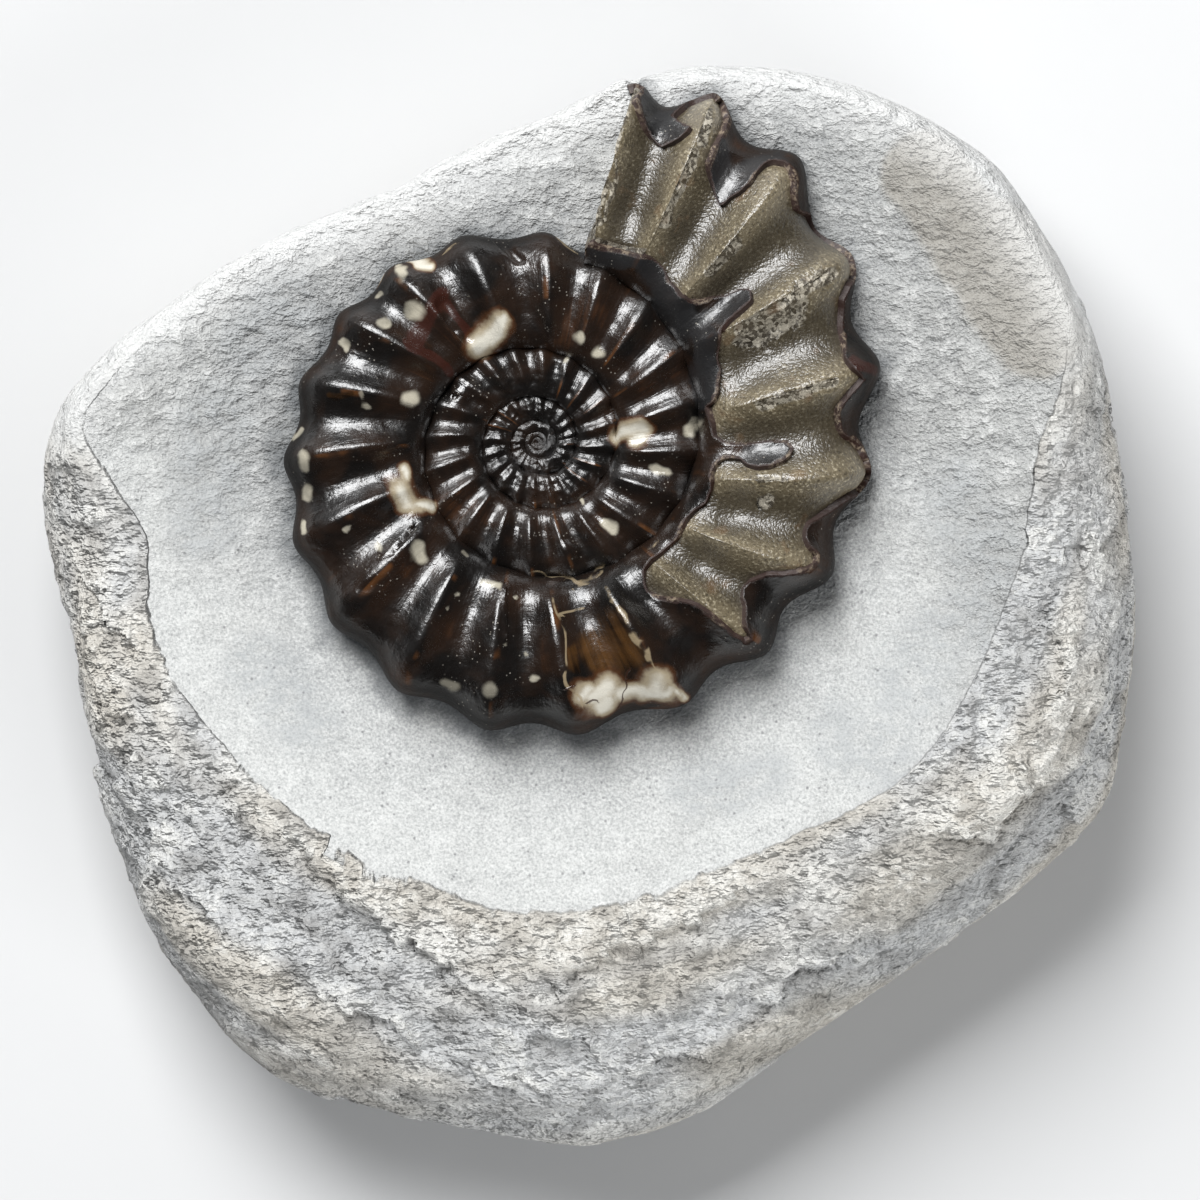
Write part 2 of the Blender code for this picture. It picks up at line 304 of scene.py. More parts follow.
# %% [markdown]
# The tube becomes a grid of points: rows along the coil, and columns round the section from the
# outer side over the flank to the seam, along the seam, and back under the tube. The hidden
# underside gets few columns. Rows are closer together on the last whorl, in degrees, because
# its ribs are the ones that show best.

# %% A grid of points on the tube
SEAM_COLUMNS, LOWER_COLUMNS = 4, 9


def tube_grid(angles, upper_columns, flank_width=FLANK_CREST_WIDTH):
    """Points (rows, columns, 3) on the tube, with its inner side resting on the next whorl."""
    angle = np.asarray(angles)[:, None]
    seam = seam_section(angle)
    upper = np.linspace(0.0, 1.0, upper_columns)[None, :] * seam
    lower = np.linspace(1.0, 0.0, LOWER_COLUMNS + 1)[None, :-1] * seam
    top = tube(angle, upper, flank_width)
    bottom = tube(angle, -lower, flank_width)
    down = np.linspace(1.0, -1.0, SEAM_COLUMNS + 2)[None, 1:-1]
    seam_height = top[2][:, -1:] * down
    seam_around = np.repeat(top[1][:, -1:], SEAM_COLUMNS, axis=1)
    seam_radius = inner_whorl_radius(seam_around, seam_height) - SINK
    parts = zip(top, (seam_radius, seam_around, seam_height), bottom)
    return to_points(*(np.concatenate(part, axis=1) for part in parts))


def row_angles(*stretches):
    """Angles of the rows, from stretches of (start, end, step)."""
    parts = [np.arange(start, end - step / 2.0, step) for start, end, step in stretches]
    return np.concatenate(parts + [[stretches[-1][1]]])


def grid_normals(points):
    """Unit normals of a grid that closes on itself across its columns."""
    along = np.gradient(points, axis=0)
    across = (np.roll(points, -1, axis=1) - np.roll(points, 1, axis=1)) / 2.0
    normal = np.cross(along, across)
    return normal / np.maximum(np.linalg.norm(normal, axis=-1, keepdims=True), 1e-9)


def grid_cell(row, column, columns):
    """The four corners of a cell, as vertex numbers."""
    after = (column + 1) % columns
    near, far = row * columns, (row + 1) * columns
    return [near + column, near + after, far + after, far + column]


def closed_faces(rows, columns):
    """The cells of a grid, and one face across each of its two ends."""
    sides = [grid_cell(row, column, columns) for row, column in np.ndindex(rows - 1, columns)]
    return sides + [[row * columns + column for column in range(columns)] for row in (0, rows - 1)]


print("a test ring has", tube_grid([0.0], 10).shape[1], "points")

# %% [markdown]
# ## Marks seen from above
#
# The hole in the skin, the white spots, the dents and the crusts are all marks that show in the
# view from above. Their places are written in steps of 0.095 mm, to the right and downwards,
# and turned into millimetres here. A mark is a stroke: a line from one point to another with a
# half width. A round spot is a stroke that ends where it starts. Strokes were chosen because a
# few numbers describe each, and its distance from any point is exact.

# %% Marks
MARK_STEP = 0.095
MARK_ORIGIN = (589.0, 609.5)
NOT_ZERO = 1e-9


def mark_place(across, down):
    """A place in steps becomes x and y in mm."""
    return np.array((across - MARK_ORIGIN[0], MARK_ORIGIN[1] - down)) * MARK_STEP


def to_line(points, start, end):
    """How far along a line the place nearest to each flat point is, and how far off it is."""
    side, away = end - start, points[..., :2] - start
    share = np.clip((away @ side) / max(side @ side, NOT_ZERO), 0.0, 1.0)
    return share, np.linalg.norm(away - share[..., None] * side, axis=-1)


def line_side(points, start, end):
    """1 to the left of a line, seen from its start, and -1 to the right."""
    side, away = end - start, points[..., :2] - start
    return np.sign(side[0] * away[..., 1] - side[1] * away[..., 0])


def stroke_distance(points, stroke):
    """Distance of flat points from a stroke's line, as a share of its half width."""
    distance = to_line(points, mark_place(*stroke[:2]), mark_place(*stroke[2:4]))[1]
    return distance / (stroke[4] * MARK_STEP)


def marked(points, strokes, outside, inside, ragged=0.0):
    """1 well inside any of the strokes and 0 outside, with limits in half widths."""
    marks = [fade(outside, inside, stroke_distance(points, stroke) + ragged) for stroke in strokes]
    return np.max(marks, axis=0)


def signed_distance(points, outline):
    """Distance of flat points (..., 2) from a closed outline, negative inside it."""
    nearest = np.full(points.shape[:-1], np.inf)
    inside = np.zeros(points.shape[:-1], dtype=bool)
    for start, end in zip(outline, outline[1:] + outline[:1]):
        nearest = np.minimum(nearest, to_line(points, start, end)[1])
        spans = (start[1] > points[..., 1]) != (end[1] > points[..., 1])
        slope = (end[0] - start[0]) / ((end[1] - start[1]) or NOT_ZERO)
        inside ^= spans & (points[..., 0] < start[0] + slope * (points[..., 1] - start[1]))
    return np.where(inside, -nearest, nearest)


print("the view's middle is at", mark_place(600, 600), "mm")

# %% [markdown]
# ## The hole in the skin
#
# The dark skin is missing over most of the body chamber. Its broken edge is a closed line. It
# starts at the mouth of the shell and follows the seam back with two tongues of skin that reach
# out over the mould. Then it zigzags along the outer side: out to the rim on each crest, and
# back in each furrow. Near the mouth the outer side is bare too, but for two notches.

# %% The broken edge
WINDOW = [
    (583, 245), (600, 250), (620, 253), (640, 259), (655, 263), (663, 271), (669, 284), (680, 298),
    (690, 305), (700, 304), (712, 300), (725, 298), (740, 291), (749, 292), (750, 302), (740, 312),
    (728, 322), (721, 331), (719, 345), (717, 360), (719, 372), (718, 385), (717, 395), (712, 403),
    (705, 408), (708, 418), (712, 428), (714, 438), (725, 444), (745, 445), (765, 442), (785, 442),
    (792, 448), (790, 455), (782, 462), (770, 467), (757, 468), (745, 466), (739, 460), (731, 459),
    (722, 460), (714, 466), (709, 474), (710, 484), (709, 494), (704, 504), (695, 510), (685, 518),
    (680, 528), (676, 538), (665, 550), (650, 560), (643, 570), (644, 582), (647, 592), (660, 597),
    (672, 600), (688, 603), (700, 609), (712, 617), (722, 626), (733, 636), (744, 641), (750, 637),
    (745, 628), (744, 618), (745, 606), (741, 597), (741, 588), (747, 582), (755, 579), (765, 575),
    (778, 575), (795, 574), (806, 569), (814, 562), (816, 555), (808, 548), (804, 538), (804, 530),
    (808, 523), (815, 520), (825, 514), (840, 505), (850, 498), (860, 494), (867, 484), (871, 473),
    (868, 462), (862, 450), (854, 442), (845, 438), (838, 431), (835, 420), (836, 412), (842, 405),
    (850, 396), (856, 389), (862, 382), (856, 374), (846, 364), (841, 355), (841, 340), (841, 320),
    (842, 302), (848, 290), (856, 280), (856, 262), (846, 248), (836, 236), (822, 222), (808, 216),
    (797, 214), (794, 200), (794, 184), (791, 174), (784, 165), (772, 163), (762, 168), (754, 177),
    (748, 186), (738, 195), (729, 201), (719, 210), (715, 201), (712, 191), (710, 180), (708, 168),
    (715, 150), (722, 138), (729, 122), (724, 104), (710, 92), (694, 93), (686, 104), (680, 110),
    (672, 119), (678, 125), (690, 131), (682, 140), (671, 147), (660, 151), (652, 142), (646, 131),
    (641, 117), (636, 104), (641, 93), (650, 84), (654, 58), (600, 58), (580, 150), (565, 245),
]
WINDOW_BOTTOM = -1.3
RAGGED_EDGE = 0.14
SKIN = 0.6
CHAMBER_START = -56.0


def skin_cover(points):
    """Above 0 where the skin is still on, in mm from its broken edge, and below 0 in the hole."""
    outline = [mark_place(*place) for place in WINDOW]
    below = WINDOW_BOTTOM - (points[..., 2] - CENTRE[2])
    ragged = RAGGED_EDGE * layered_noise(points, 1.4, 3, seed=5)
    return np.maximum(signed_distance(points[..., :2], outline), below) + ragged


print("the hole's outline has", len(WINDOW), "points")

# %% [markdown]
# A grid has no edge where the skin breaks off, so the cells that the edge crosses are cut. Each
# cell there becomes triangles, and each triangle keeps only the part where skin_cover is above
# 0. The cut is placed along a side in proportion to the two values at its ends, which makes a
# smooth line out of a coarse grid. The outer and the inner face of the skin are cut alike, and
# a narrow wall joins them, so that the broken edge shows its thickness.

# %% Cutting a grid along a line of zeros
def cut_triangle(corners, cover, cut_point):
    """The kept part of a triangle, and the side of it that is new, or None."""
    kept, new_side = [], []
    for here, there in zip(corners, corners[1:] + corners[:1]):
        if cover[here] >= 0.0:
            kept.append(here)
        if (cover[here] >= 0.0) != (cover[there] >= 0.0):
            kept.append(cut_point(here, there))
            new_side.append(kept[-1])
    if len(new_side) == 2 and cover[corners[0]] < 0.0 <= cover[corners[-1]]:
        new_side.reverse()
    return kept, new_side if len(new_side) == 2 else None


one_corner = cut_triangle([0, 1, 2], [1.0, -1.0, -1.0], lambda here, there: (here, there))
print("one corner kept of three:", one_corner[0])

# %% [markdown]
# ## The dark shell
#
# The shell is the whole tube. Up to CHAMBER_START it is solid calcite, and from there on it is a
# thin skin round the mould, with the hole in it. A Solidify modifier could thicken a skin, but
# it can't end in a solid tube, so both faces of the skin are made here. The rows are given as
# stretches of (start, end, step) in degrees, with small steps where the ribs show best.

# %% Rows and columns of the shell
SHELL_COLUMNS = 52
shell_angles = row_angles(
    (FIRST_ANGLE, -2000.0, 14.0),
    (-2000.0, -1300.0, 7.5),
    (-1300.0, -1010.0, 3.0),
    (-1010.0, -650.0, 1.9),
    (-650.0, -290.0, 1.35),
    (-290.0, APERTURE, 0.7),
)
chamber_row = int(np.searchsorted(shell_angles, CHAMBER_START))
outer_skin = tube_grid(shell_angles, SHELL_COLUMNS)
outer_normals = grid_normals(outer_skin)
facing = np.sign((outer_normals * (outer_skin - outer_skin.mean(axis=1, keepdims=True))).sum())
outer_normals *= facing
print("shell grid:", outer_skin.shape[:2], "rows and columns")

# %% [markdown]
# No real shell is as even as its rule. Gentle waves go over all of it, the worn inner whorls
# are rougher, and a few dents and bumps are strokes that end in a height in mm. Sculpting could
# do this by hand, but a list of strokes can be read and changed. Towards the mid-plane the
# relief fades out, so that two whorls still meet along a clean line.

# %% Relief of the shell
DENTS = [
    (446, 306, 467, 340, 9.0, -0.75), (450, 318, 460, 332, 5.0, -0.45),
    (461, 397, 461, 397, 11.0, 0.55), (456, 399, 456, 399, 3.2, -0.45),
    (418, 524, 392, 556, 2.0, -0.30), (505, 585, 507, 640, 2.0, 0.20),
    (366, 590, 380, 582, 6.0, -0.25), (497, 240, 520, 262, 5.0, -0.35),
    (567, 548, 574, 552, 7.0, 0.30),
]
DENT_EDGE = (1.2, 0.4)
WAVE_HEIGHT, FINE_HEIGHT, WORN_HEIGHT = 0.10, 0.035, 0.16
WORN_FROM, PLANE_FADE = (-480.0, -720.0), (0.0, 0.12)


def waves(points):
    """Gentle waves, which the mould takes over from the shell."""
    return WAVE_HEIGHT * layered_noise(points, 5.0, 3, seed=11)


fine_height = FINE_HEIGHT + WORN_HEIGHT * fade(*WORN_FROM, shell_angles)[:, None]
shell_relief = waves(outer_skin)
shell_relief += fine_height * layered_noise(outer_skin, 1.5, 3, seed=15, ridged=True)
for dent in DENTS:
    shell_relief += dent[5] * marked(outer_skin, [dent], *DENT_EDGE)
plane_gap = np.abs(outer_skin[..., 2] - CENTRE[2]) / venter_radius(shell_angles)[:, None]
shell_relief *= fade(*PLANE_FADE, plane_gap)
outer_skin = outer_skin + outer_normals * shell_relief[..., None]
print("shell relief: from", np.round([shell_relief.min(), shell_relief.max()], 2), "mm")

# %% [markdown]
# The shell's mesh has an outer face, an inner face under the skin, and walls between the two:
# along the broken edge, at the mouth and at both ends. Every vertex of the skin has a twin on
# the inner face, and so has every point where the cut crosses a side of a cell. The inner face
# lies a little deeper than the skin is thick, so it stays hidden in the mould.

# %% Joining the shell's faces
INNER_FACE_DEPTH = SKIN + 0.3
WHOLE_ROWS, WHOLE_COVER = 2, 0.5


def build_shell():
    """Points and faces of one closed mesh, how far the skin covers, and how many cut points."""
    rows, columns = outer_skin.shape[:2]
    solid = chamber_row * columns
    outer = outer_skin.reshape(-1, 3)
    inner = (outer_skin - outer_normals * INNER_FACE_DEPTH)[chamber_row:].reshape(-1, 3)
    total = len(outer) + len(inner)
    grid_cover = skin_cover(outer_skin)
    whole = slice(0, chamber_row + WHOLE_ROWS)
    grid_cover[whole] = np.maximum(grid_cover[whole], WHOLE_COVER)
    cover = grid_cover.ravel()
    cuts, cut_points, faces = {}, [], []

    def cut_point(here, there):
        low, high = pair = (min(here, there), max(here, there))
        if pair not in cuts:
            cuts[pair] = total + len(cut_points)
            share = cover[low] / (cover[low] - cover[high])
            for points, shift in ((outer, 0), (inner, solid)):
                start, end = points[low - shift], points[high - shift]
                cut_points.append(start + share * (end - start))
        return cuts[pair]

    def twin(index):
        return index + 1 if index >= total else index + len(outer) - solid

    def add_skin(corners):
        faces.extend([corners, [twin(index) for index in reversed(corners)]])

    def add_wall(start, end):
        faces.append([start, end, twin(end), twin(start)])

    for row, column in np.ndindex(rows - 1, columns):
        cell = grid_cell(row, column, columns)
        if row < chamber_row:
            faces.append(cell)
        elif cover[cell].min() >= 0.0:
            add_skin(cell)
        elif cover[cell].max() >= 0.0:
            for corners in (cell[:3], [cell[0], *cell[2:]]):
                kept, side = cut_triangle(corners, cover, cut_point)
                if len(kept) >= 3:
                    add_skin(kept)
                    if side:
                        add_wall(*side)
    mouth = (rows - 1) * columns
    for column in range(columns):
        here, there = mouth + column, mouth + (column + 1) % columns
        if max(cover[here], cover[there]) >= 0.0:
            start = here if cover[here] >= 0.0 else cut_point(here, there)
            end = there if cover[there] >= 0.0 else cut_point(here, there)
            add_wall(start, end)
    faces.append([twin(solid + column) for column in range(columns)])
    faces.append(list(range(columns)))
    return np.concatenate([outer, inner, cut_points]), faces, grid_cover, len(cut_points)


def new_piece(name, points, faces):
    """A mesh object from points in mm and faces."""
    mesh = bpy.data.meshes.new(name)
    mesh.from_pydata((points * MM).tolist(), [], faces)
    mesh.update()
    piece = bpy.data.objects.new(name, mesh)
    bpy.context.scene.collection.objects.link(piece)
    return piece


def store(piece, name, values):
    """Keeps one number for each vertex, for the finish to read."""
    attribute = piece.data.attributes.new(name, "FLOAT", "POINT")
    attribute.data.foreach_set("value", np.asarray(values, dtype=np.float32))


shell_points, shell_faces, shell_cover, cut_count = build_shell()
ammonite = new_piece("ammonite_shell", shell_points, shell_faces)
print("shell:", len(shell_points), "points,", len(shell_faces), "faces")

# %% [markdown]
# The finish needs to know where on the tube it is. Each vertex keeps the rib count, its place
# across the flank from 0 at the seam to 1 at the outer side, and its distance from the broken
# edge.

# %% Places on the shell
EDGE_REACH, ACROSS_AT_CUT = 3.0, 0.7


def store_on_shell(label, grid, at_cut, on_inner=1.0):
    """Stores values for the outer grid, the inner face and the cut points, in that order."""
    inner = grid[chamber_row:] * on_inner
    parts = (grid.ravel(), inner.ravel(), np.full(cut_count, at_cut))
    store(ammonite, label, np.concatenate(parts))


columns_across = np.concatenate([
    np.linspace(1.0, 0.0, SHELL_COLUMNS),
    np.zeros(SEAM_COLUMNS),
    np.linspace(0.0, 1.0, LOWER_COLUMNS),
])
no_change = np.zeros((len(shell_angles), len(columns_across)))
in_solid = np.arange(len(shell_angles))[:, None] < chamber_row
edge_grid = np.where(in_solid, EDGE_REACH, np.clip(shell_cover, 0.0, EDGE_REACH))
store_on_shell("across", no_change + columns_across, ACROSS_AT_CUT)
store_on_shell("ribs", no_change + rib_count(shell_angles)[:, None], 0.0)
store_on_shell("edge", edge_grid, 0.0, on_inner=0.0)
print("cut points on the broken edge:", cut_count)

# %% [markdown]
# White calcite has filled spots, veins and whole patches of the shell, and one white spot is a
# painted glint. Other patches are amber, ember red or slate grey. Each kind of mark is a list of
# strokes. A wide stroke is kept as a depth, which is 1 on its line and 0 at its edge. A thin vein
# or crack is kept as the signed distance to its line, which stays exact between two vertices that
# lie on either side of it.

# %% Strokes on the shell
SPOTS_AND_GLINT = [
    (402, 272, 402, 278, 6.5), (378, 299, 382, 295, 3.5), (416, 312, 416, 312, 12.0),
    (386, 327, 386, 327, 7.5), (345, 343, 348, 350, 4.5), (410, 400, 414, 400, 9.0),
    (362, 397, 371, 410, 4.0), (294, 440, 303, 431, 3.0), (306, 456, 308, 470, 6.0),
    (310, 490, 310, 498, 6.0), (305, 522, 305, 531, 4.0), (348, 530, 350, 530, 4.0),
    (381, 547, 382, 550, 5.0), (420, 549, 422, 557, 9.0), (464, 552, 468, 556, 3.0),
    (459, 594, 459, 594, 3.8), (449, 608, 449, 608, 3.0), (505, 642, 505, 642, 3.0),
    (526, 655, 526, 655, 4.0), (535, 677, 535, 677, 5.0), (491, 689, 491, 689, 9.5),
    (446, 682, 454, 687, 7.5), (580, 341, 580, 341, 7.0), (598, 355, 598, 355, 6.5),
    (607, 523, 613, 529, 6.5), (655, 470, 666, 474, 6.0), (688, 432, 696, 425, 7.0),
    # The first stroke on the next line is a painted glint, not a spot of calcite.
    (499, 585, 484, 583, 5.0), (565, 362, 565, 362, 3.5), (472, 300, 472, 300, 2.5),
    (516, 597, 516, 597, 3.0), (582, 502, 582, 502, 3.0),
]
CREAM = [
    (478, 347, 497, 325, 13.0), (490, 340, 502, 320, 9.0), (402, 486, 412, 508, 12.0),
    (405, 468, 408, 474, 6.0), (420, 506, 430, 508, 6.0), (620, 437, 640, 432, 10.0),
    (632, 447, 640, 440, 8.0), (418, 266, 434, 268, 5.0), (373, 283, 384, 266, 2.5),
    (592, 700, 606, 684, 15.0), (586, 690, 582, 700, 12.0), (606, 694, 600, 708, 9.0),
    (655, 680, 660, 688, 17.0), (642, 690, 668, 690, 12.0), (672, 686, 679, 697, 5.0),
    (618, 690, 636, 688, 9.0),
]
VEINS = [
    (606, 590, 618, 606, 1.8), (618, 606, 636, 632, 2.4), (636, 632, 650, 658, 4.0),
    (553, 600, 566, 630, 1.4), (566, 630, 569, 652, 1.2), (569, 652, 568, 686, 1.4),
    (568, 686, 582, 706, 1.6), (560, 613, 580, 610, 1.2), (562, 581, 580, 584, 2.0),
    (580, 584, 604, 568, 3.2), (532, 574, 560, 581, 0.9), (640, 560, 660, 540, 0.9),
    (560, 240, 576, 252, 2.0), (448, 254, 456, 246, 2.0),
]
CRACKS = [
    (628, 670, 624, 690, 0.9), (624, 690, 616, 704, 0.8), (575, 686, 566, 690, 0.8),
    (588, 706, 596, 702, 0.7),
]
AMBER = [
    (612, 622, 628, 655, 20.0), (590, 640, 600, 660, 14.0), (574, 650, 576, 668, 7.0),
    (335, 392, 356, 398, 4.0),
]
SLATE = [
    (590, 256, 650, 268, 10.0), (650, 268, 690, 330, 16.0), (690, 330, 740, 300, 10.0),
    (702, 340, 706, 400, 14.0), (712, 190, 718, 150, 14.0), (722, 200, 775, 172, 20.0),
    (672, 134, 664, 128, 15.0), (750, 456, 782, 455, 10.0),
]
EMBER = [
    (418, 344, 440, 300, 9.0), (440, 306, 466, 338, 6.0), (408, 348, 448, 368, 5.0),
    (850, 366, 870, 372, 8.0),
]


def stroke_depth(points, strokes):
    """1 on the line of the nearest stroke, 0 at its edge, and below 0 further off."""
    return np.max([1.0 - stroke_distance(points, stroke) for stroke in strokes], axis=0)


def stroke_side(points, strokes):
    """Distance from the nearest stroke's line in half widths, negative on its right side."""
    nearest, signed = np.full(len(points), np.inf), np.zeros(len(points))
    for stroke in strokes:
        distance = stroke_distance(points, stroke)
        side = line_side(points, mark_place(*stroke[:2]), mark_place(*stroke[2:4]))
        signed = np.where(distance < nearest, side * distance, signed)
        nearest = np.minimum(nearest, distance)
    return np.clip(signed, -SIDE_REACH, SIDE_REACH)


DEPTH_REACH, NEAR_REACH, SIDE_REACH = -6.0, -12.0, 30.0
small_waves = wavy(shell_points, 0.9, 0.26, 151)
large_waves = wavy(shell_points, 2.2, 0.60, 161)
both_waves = small_waves + 0.7 * (large_waves - shell_points)
for label, strokes, places in (
    ("dots_and_glint", SPOTS_AND_GLINT, small_waves),
    ("cream", CREAM, large_waves),
    ("amber", AMBER, large_waves),
    ("ember", EMBER, large_waves),
    ("slate", SLATE, large_waves),
):
    store(ammonite, label, np.clip(stroke_depth(places, strokes), DEPTH_REACH, 1.0))
for label, strokes in (("veins", VEINS), ("cracks", CRACKS)):
    store(ammonite, label, stroke_side(both_waves, strokes))
    store(ammonite, label + "_near", np.clip(stroke_depth(both_waves, strokes), NEAR_REACH, 1.0))
print("marks:", sum(len(strokes) for strokes in (SPOTS_AND_GLINT, CREAM, AMBER, EMBER, SLATE, VEINS, CRACKS)))

# %% [markdown]
# ## The mould of the body chamber
#
# Mud filled the last part of the shell and set hard. It repeats the tube on a smaller scale, one
# skin thickness in, with rounder ribs, so the same rule makes it. Its face is granular, and
# crumbles to crusts where it was damaged. At the mouth its edge is rounded off.

# %% The mould's grid
MOULD_COLUMNS, MOULD_ROW_STEP = 92, 0.42
CRUSTS = [
    (622, 100, 612, 150, 14.0), (625, 90, 632, 96, 11.0), (698, 160, 668, 226, 8.5),
    (738, 250, 712, 277, 6.5), (834, 276, 802, 290, 14.0), (795, 308, 752, 340, 17.0),
    (830, 386, 762, 408, 9.5), (757, 481, 780, 481, 9.0), (712, 112, 706, 146, 7.0),
    (610, 160, 598, 225, 9.0), (760, 506, 766, 504, 6.0), (640, 258, 592, 250, 6.0),
]
CRUST_EDGE, CRUST_RAGGED, CRUST_SINK = (1.20, 0.70), 0.60, 0.25
GRAIN_HEIGHT, CRUMB_HEIGHT, CRUMB_GRAIN = 0.035, 0.45, 0.12
ROUND_DEGREES, ROUND_DEPTH, ROUND_PART = 2.6, 0.9, 0.98
mould_angles = row_angles((CHAMBER_START + 1.0, APERTURE, MOULD_ROW_STEP))
mould_grid = tube_grid(mould_angles, MOULD_COLUMNS, MOULD_CREST_WIDTH)
mould_normals = grid_normals(mould_grid) * facing
mould_grid = mould_grid + mould_normals * waves(mould_grid)[..., None]
crust_ragged = CRUST_RAGGED * layered_noise(mould_grid, 2.2, 3, seed=31)
crust = marked(mould_grid, CRUSTS, *CRUST_EDGE, crust_ragged)
grain = GRAIN_HEIGHT * layered_noise(mould_grid, 0.9, 2, seed=41)
crumbs = CRUMB_HEIGHT * flakes(mould_grid, 1.6, seed=51)
crumbs = crumbs + CRUMB_GRAIN * layered_noise(mould_grid, 0.9, 2, seed=55)
last_bit = np.clip((mould_angles - (APERTURE - ROUND_DEGREES)) / ROUND_DEGREES, 0.0, 1.0)[:, None]
rounding = -ROUND_DEPTH * (1.0 - np.sqrt(1.0 - ROUND_PART * last_bit ** 2))
mould_depth = -SKIN + grain + crust * (crumbs - CRUST_SINK) + rounding
mould_grid = mould_grid + mould_normals * mould_depth[..., None]
print("crusts cover", round(float(crust.mean() * 100.0)), "% of the mould")

# %% [markdown]
# The open end of the mould is broken mud. Rings that get smaller close it, each roughened on the
# way. The finish also has to know where the crusts are, how near the skin is, and what lies
# between two ribs, where painted shade goes.

# %% Closing and storing the mould
END_RINGS, END_BULGE = 14, 0.5
END_CRUST, END_HOLLOW = 0.6, 1.0


def end_rings(ring, inward):
    """Smaller and smaller rings that close the end of a tube, roughened on the way."""
    centre = ring.mean(axis=0)
    rings = []
    for step in range(1, END_RINGS + 1):
        points = centre + (ring - centre) * (1.0 - step / (END_RINGS + 0.5))
        rough = END_BULGE * layered_noise(points, 2.0, 3, seed=61)
        rings.append(points + inward * (rough[:, None] - 0.25 * END_BULGE))
    return rings


end_turn = math.radians(APERTURE)
end_inward = np.array((-math.sin(end_turn), math.cos(end_turn), 0.0))
mould_points = np.array(list(mould_grid) + end_rings(mould_grid[-1], end_inward))
mould_faces = closed_faces(*mould_points.shape[:2])
mould = new_piece("chamber_mould", mould_points.reshape(-1, 3), mould_faces)
end_crust = np.full((END_RINGS, crust.shape[1]), END_CRUST)
hollow = np.abs(np.sin(np.pi * rib_count(mould_angles)))[:, None] + 0.0 * crust
store(mould, "crust", np.concatenate([crust, end_crust]).ravel())
store(mould, "skin", skin_cover(mould_points).ravel())
store(mould, "hollow", np.concatenate([hollow, 0.0 * end_crust + END_HOLLOW]).ravel())
print("mould:", mould_points.shape[:2], "rows and columns")

# %% [markdown]
# ## The nodule
#
# Seen from above the nodule has two lines: its outline, and the edge where the cleaned dish
# meets the rough broken rim. Both are closed lines of listed points. A block could be cut
# to shape with modifiers, but a grid of rings keeps the mesh even: from the line where ammonite
# and stone touch, across the dish, over the broken rim, down the side and under the base. At
# the mouth the ammonite reaches the outline, and the stone is drawn in under its end.

# %% The nodule's two lines
OUTLINE = [
    (52.6, 1.9), (50.9, 17.1), (49.0, 24.7), (46.2, 31.3), (42.9, 37.0), (39.5, 42.2),
    (31.9, 47.5), (23.8, 50.8), (17.0, 52.0), (9.6, 51.9), (2.5, 49.8), (-4.2, 47.3),
    (-11.3, 44.6), (-18.0, 40.8), (-24.6, 38.1), (-32.2, 34.6), (-40.3, 29.4), (-46.5, 24.7),
    (-51.0, 19.4), (-52.6, 13.3), (-52.2, 6.6), (-50.4, -1.0), (-48.8, -8.6), (-46.0, -21.9),
    (-40.8, -33.3), (-36.5, -39.0), (-32.2, -43.6), (-28.4, -46.1), (-19.9, -48.5),
    (-10.4, -50.1), (-1.8, -51.8), (4.8, -50.7), (9.6, -49.0), (20.0, -41.8), (25.7, -37.6),
    (35.2, -31.4), (44.7, -23.8), (49.5, -19.0), (51.6, -8.6),
]
DISH_EDGE = [
    (40.9, 4.7), (41.9, 15.2), (44.7, 21.3), (45.2, 27.5), (41.0, 34.8), (37.2, 40.4),
    (30.6, 45.4), (22.8, 48.7), (9.8, 49.9), (3.0, 47.8), (-10.4, 42.6), (-23.4, 36.4),
    (-38.8, 27.8), (-44.6, 22.6), (-48.4, 17.6), (-45.5, 13.1), (-41.7, 7.0), (-41.7, 0.9),
    (-39.3, -6.7), (-32.2, -15.2), (-27.5, -19.5), (-18.0, -24.3), (-8.5, -28.1),
    (-2.3, -28.3), (10.5, -24.3), (20.0, -20.9), (29.5, -16.2), (34.3, -10.5), (39.0, -1.0),
]
EQUATOR_Z = 13.5
DISH_FLOOR_Z, DISH_FLAT_RADIUS, DISH_RISE, DISH_RISE_POWER = 21.4, 28.0, 0.062, 1.5
BAND_ROUNDNESS, SIDE_ROUNDNESS = 2.3, 2.4
BASE_SHARE = 0.70
NODULE_COLUMNS, FIRST_COLUMN = 800, -1.3
SILHOUETTE_ROOM, MOUTH_ROOM_SHARE = 0.45, 0.2
EDGE_DROP = 1.1
LINE_SMOOTHING = np.linspace(-2.4, 2.4, 9)
TOUCH_OVERLAP, MOUTH_OVERLAP = 0.45, 0.15
NEAR_MOUTH, AFTER_MOUTH, BEFORE_MOUTH = (14.0, 5.0), (7.0, 0.0), (-8.0, -1.4)
LEAST_BAND, LEAST_DISH = 1.0, 0.3


def radius_from_centre(line, angles):
    """Distance from the ammonite's centre to a closed line, at each angle, a little smoothed."""
    flat = np.asarray(line) - CENTRE[:2]
    at = np.degrees(np.arctan2(flat[:, 1], flat[:, 0]))
    radii = np.hypot(flat[:, 0], flat[:, 1])
    spread = [np.interp(angles + shift, at, radii, period=360.0) for shift in LINE_SMOOTHING]
    return np.mean(spread, axis=0)


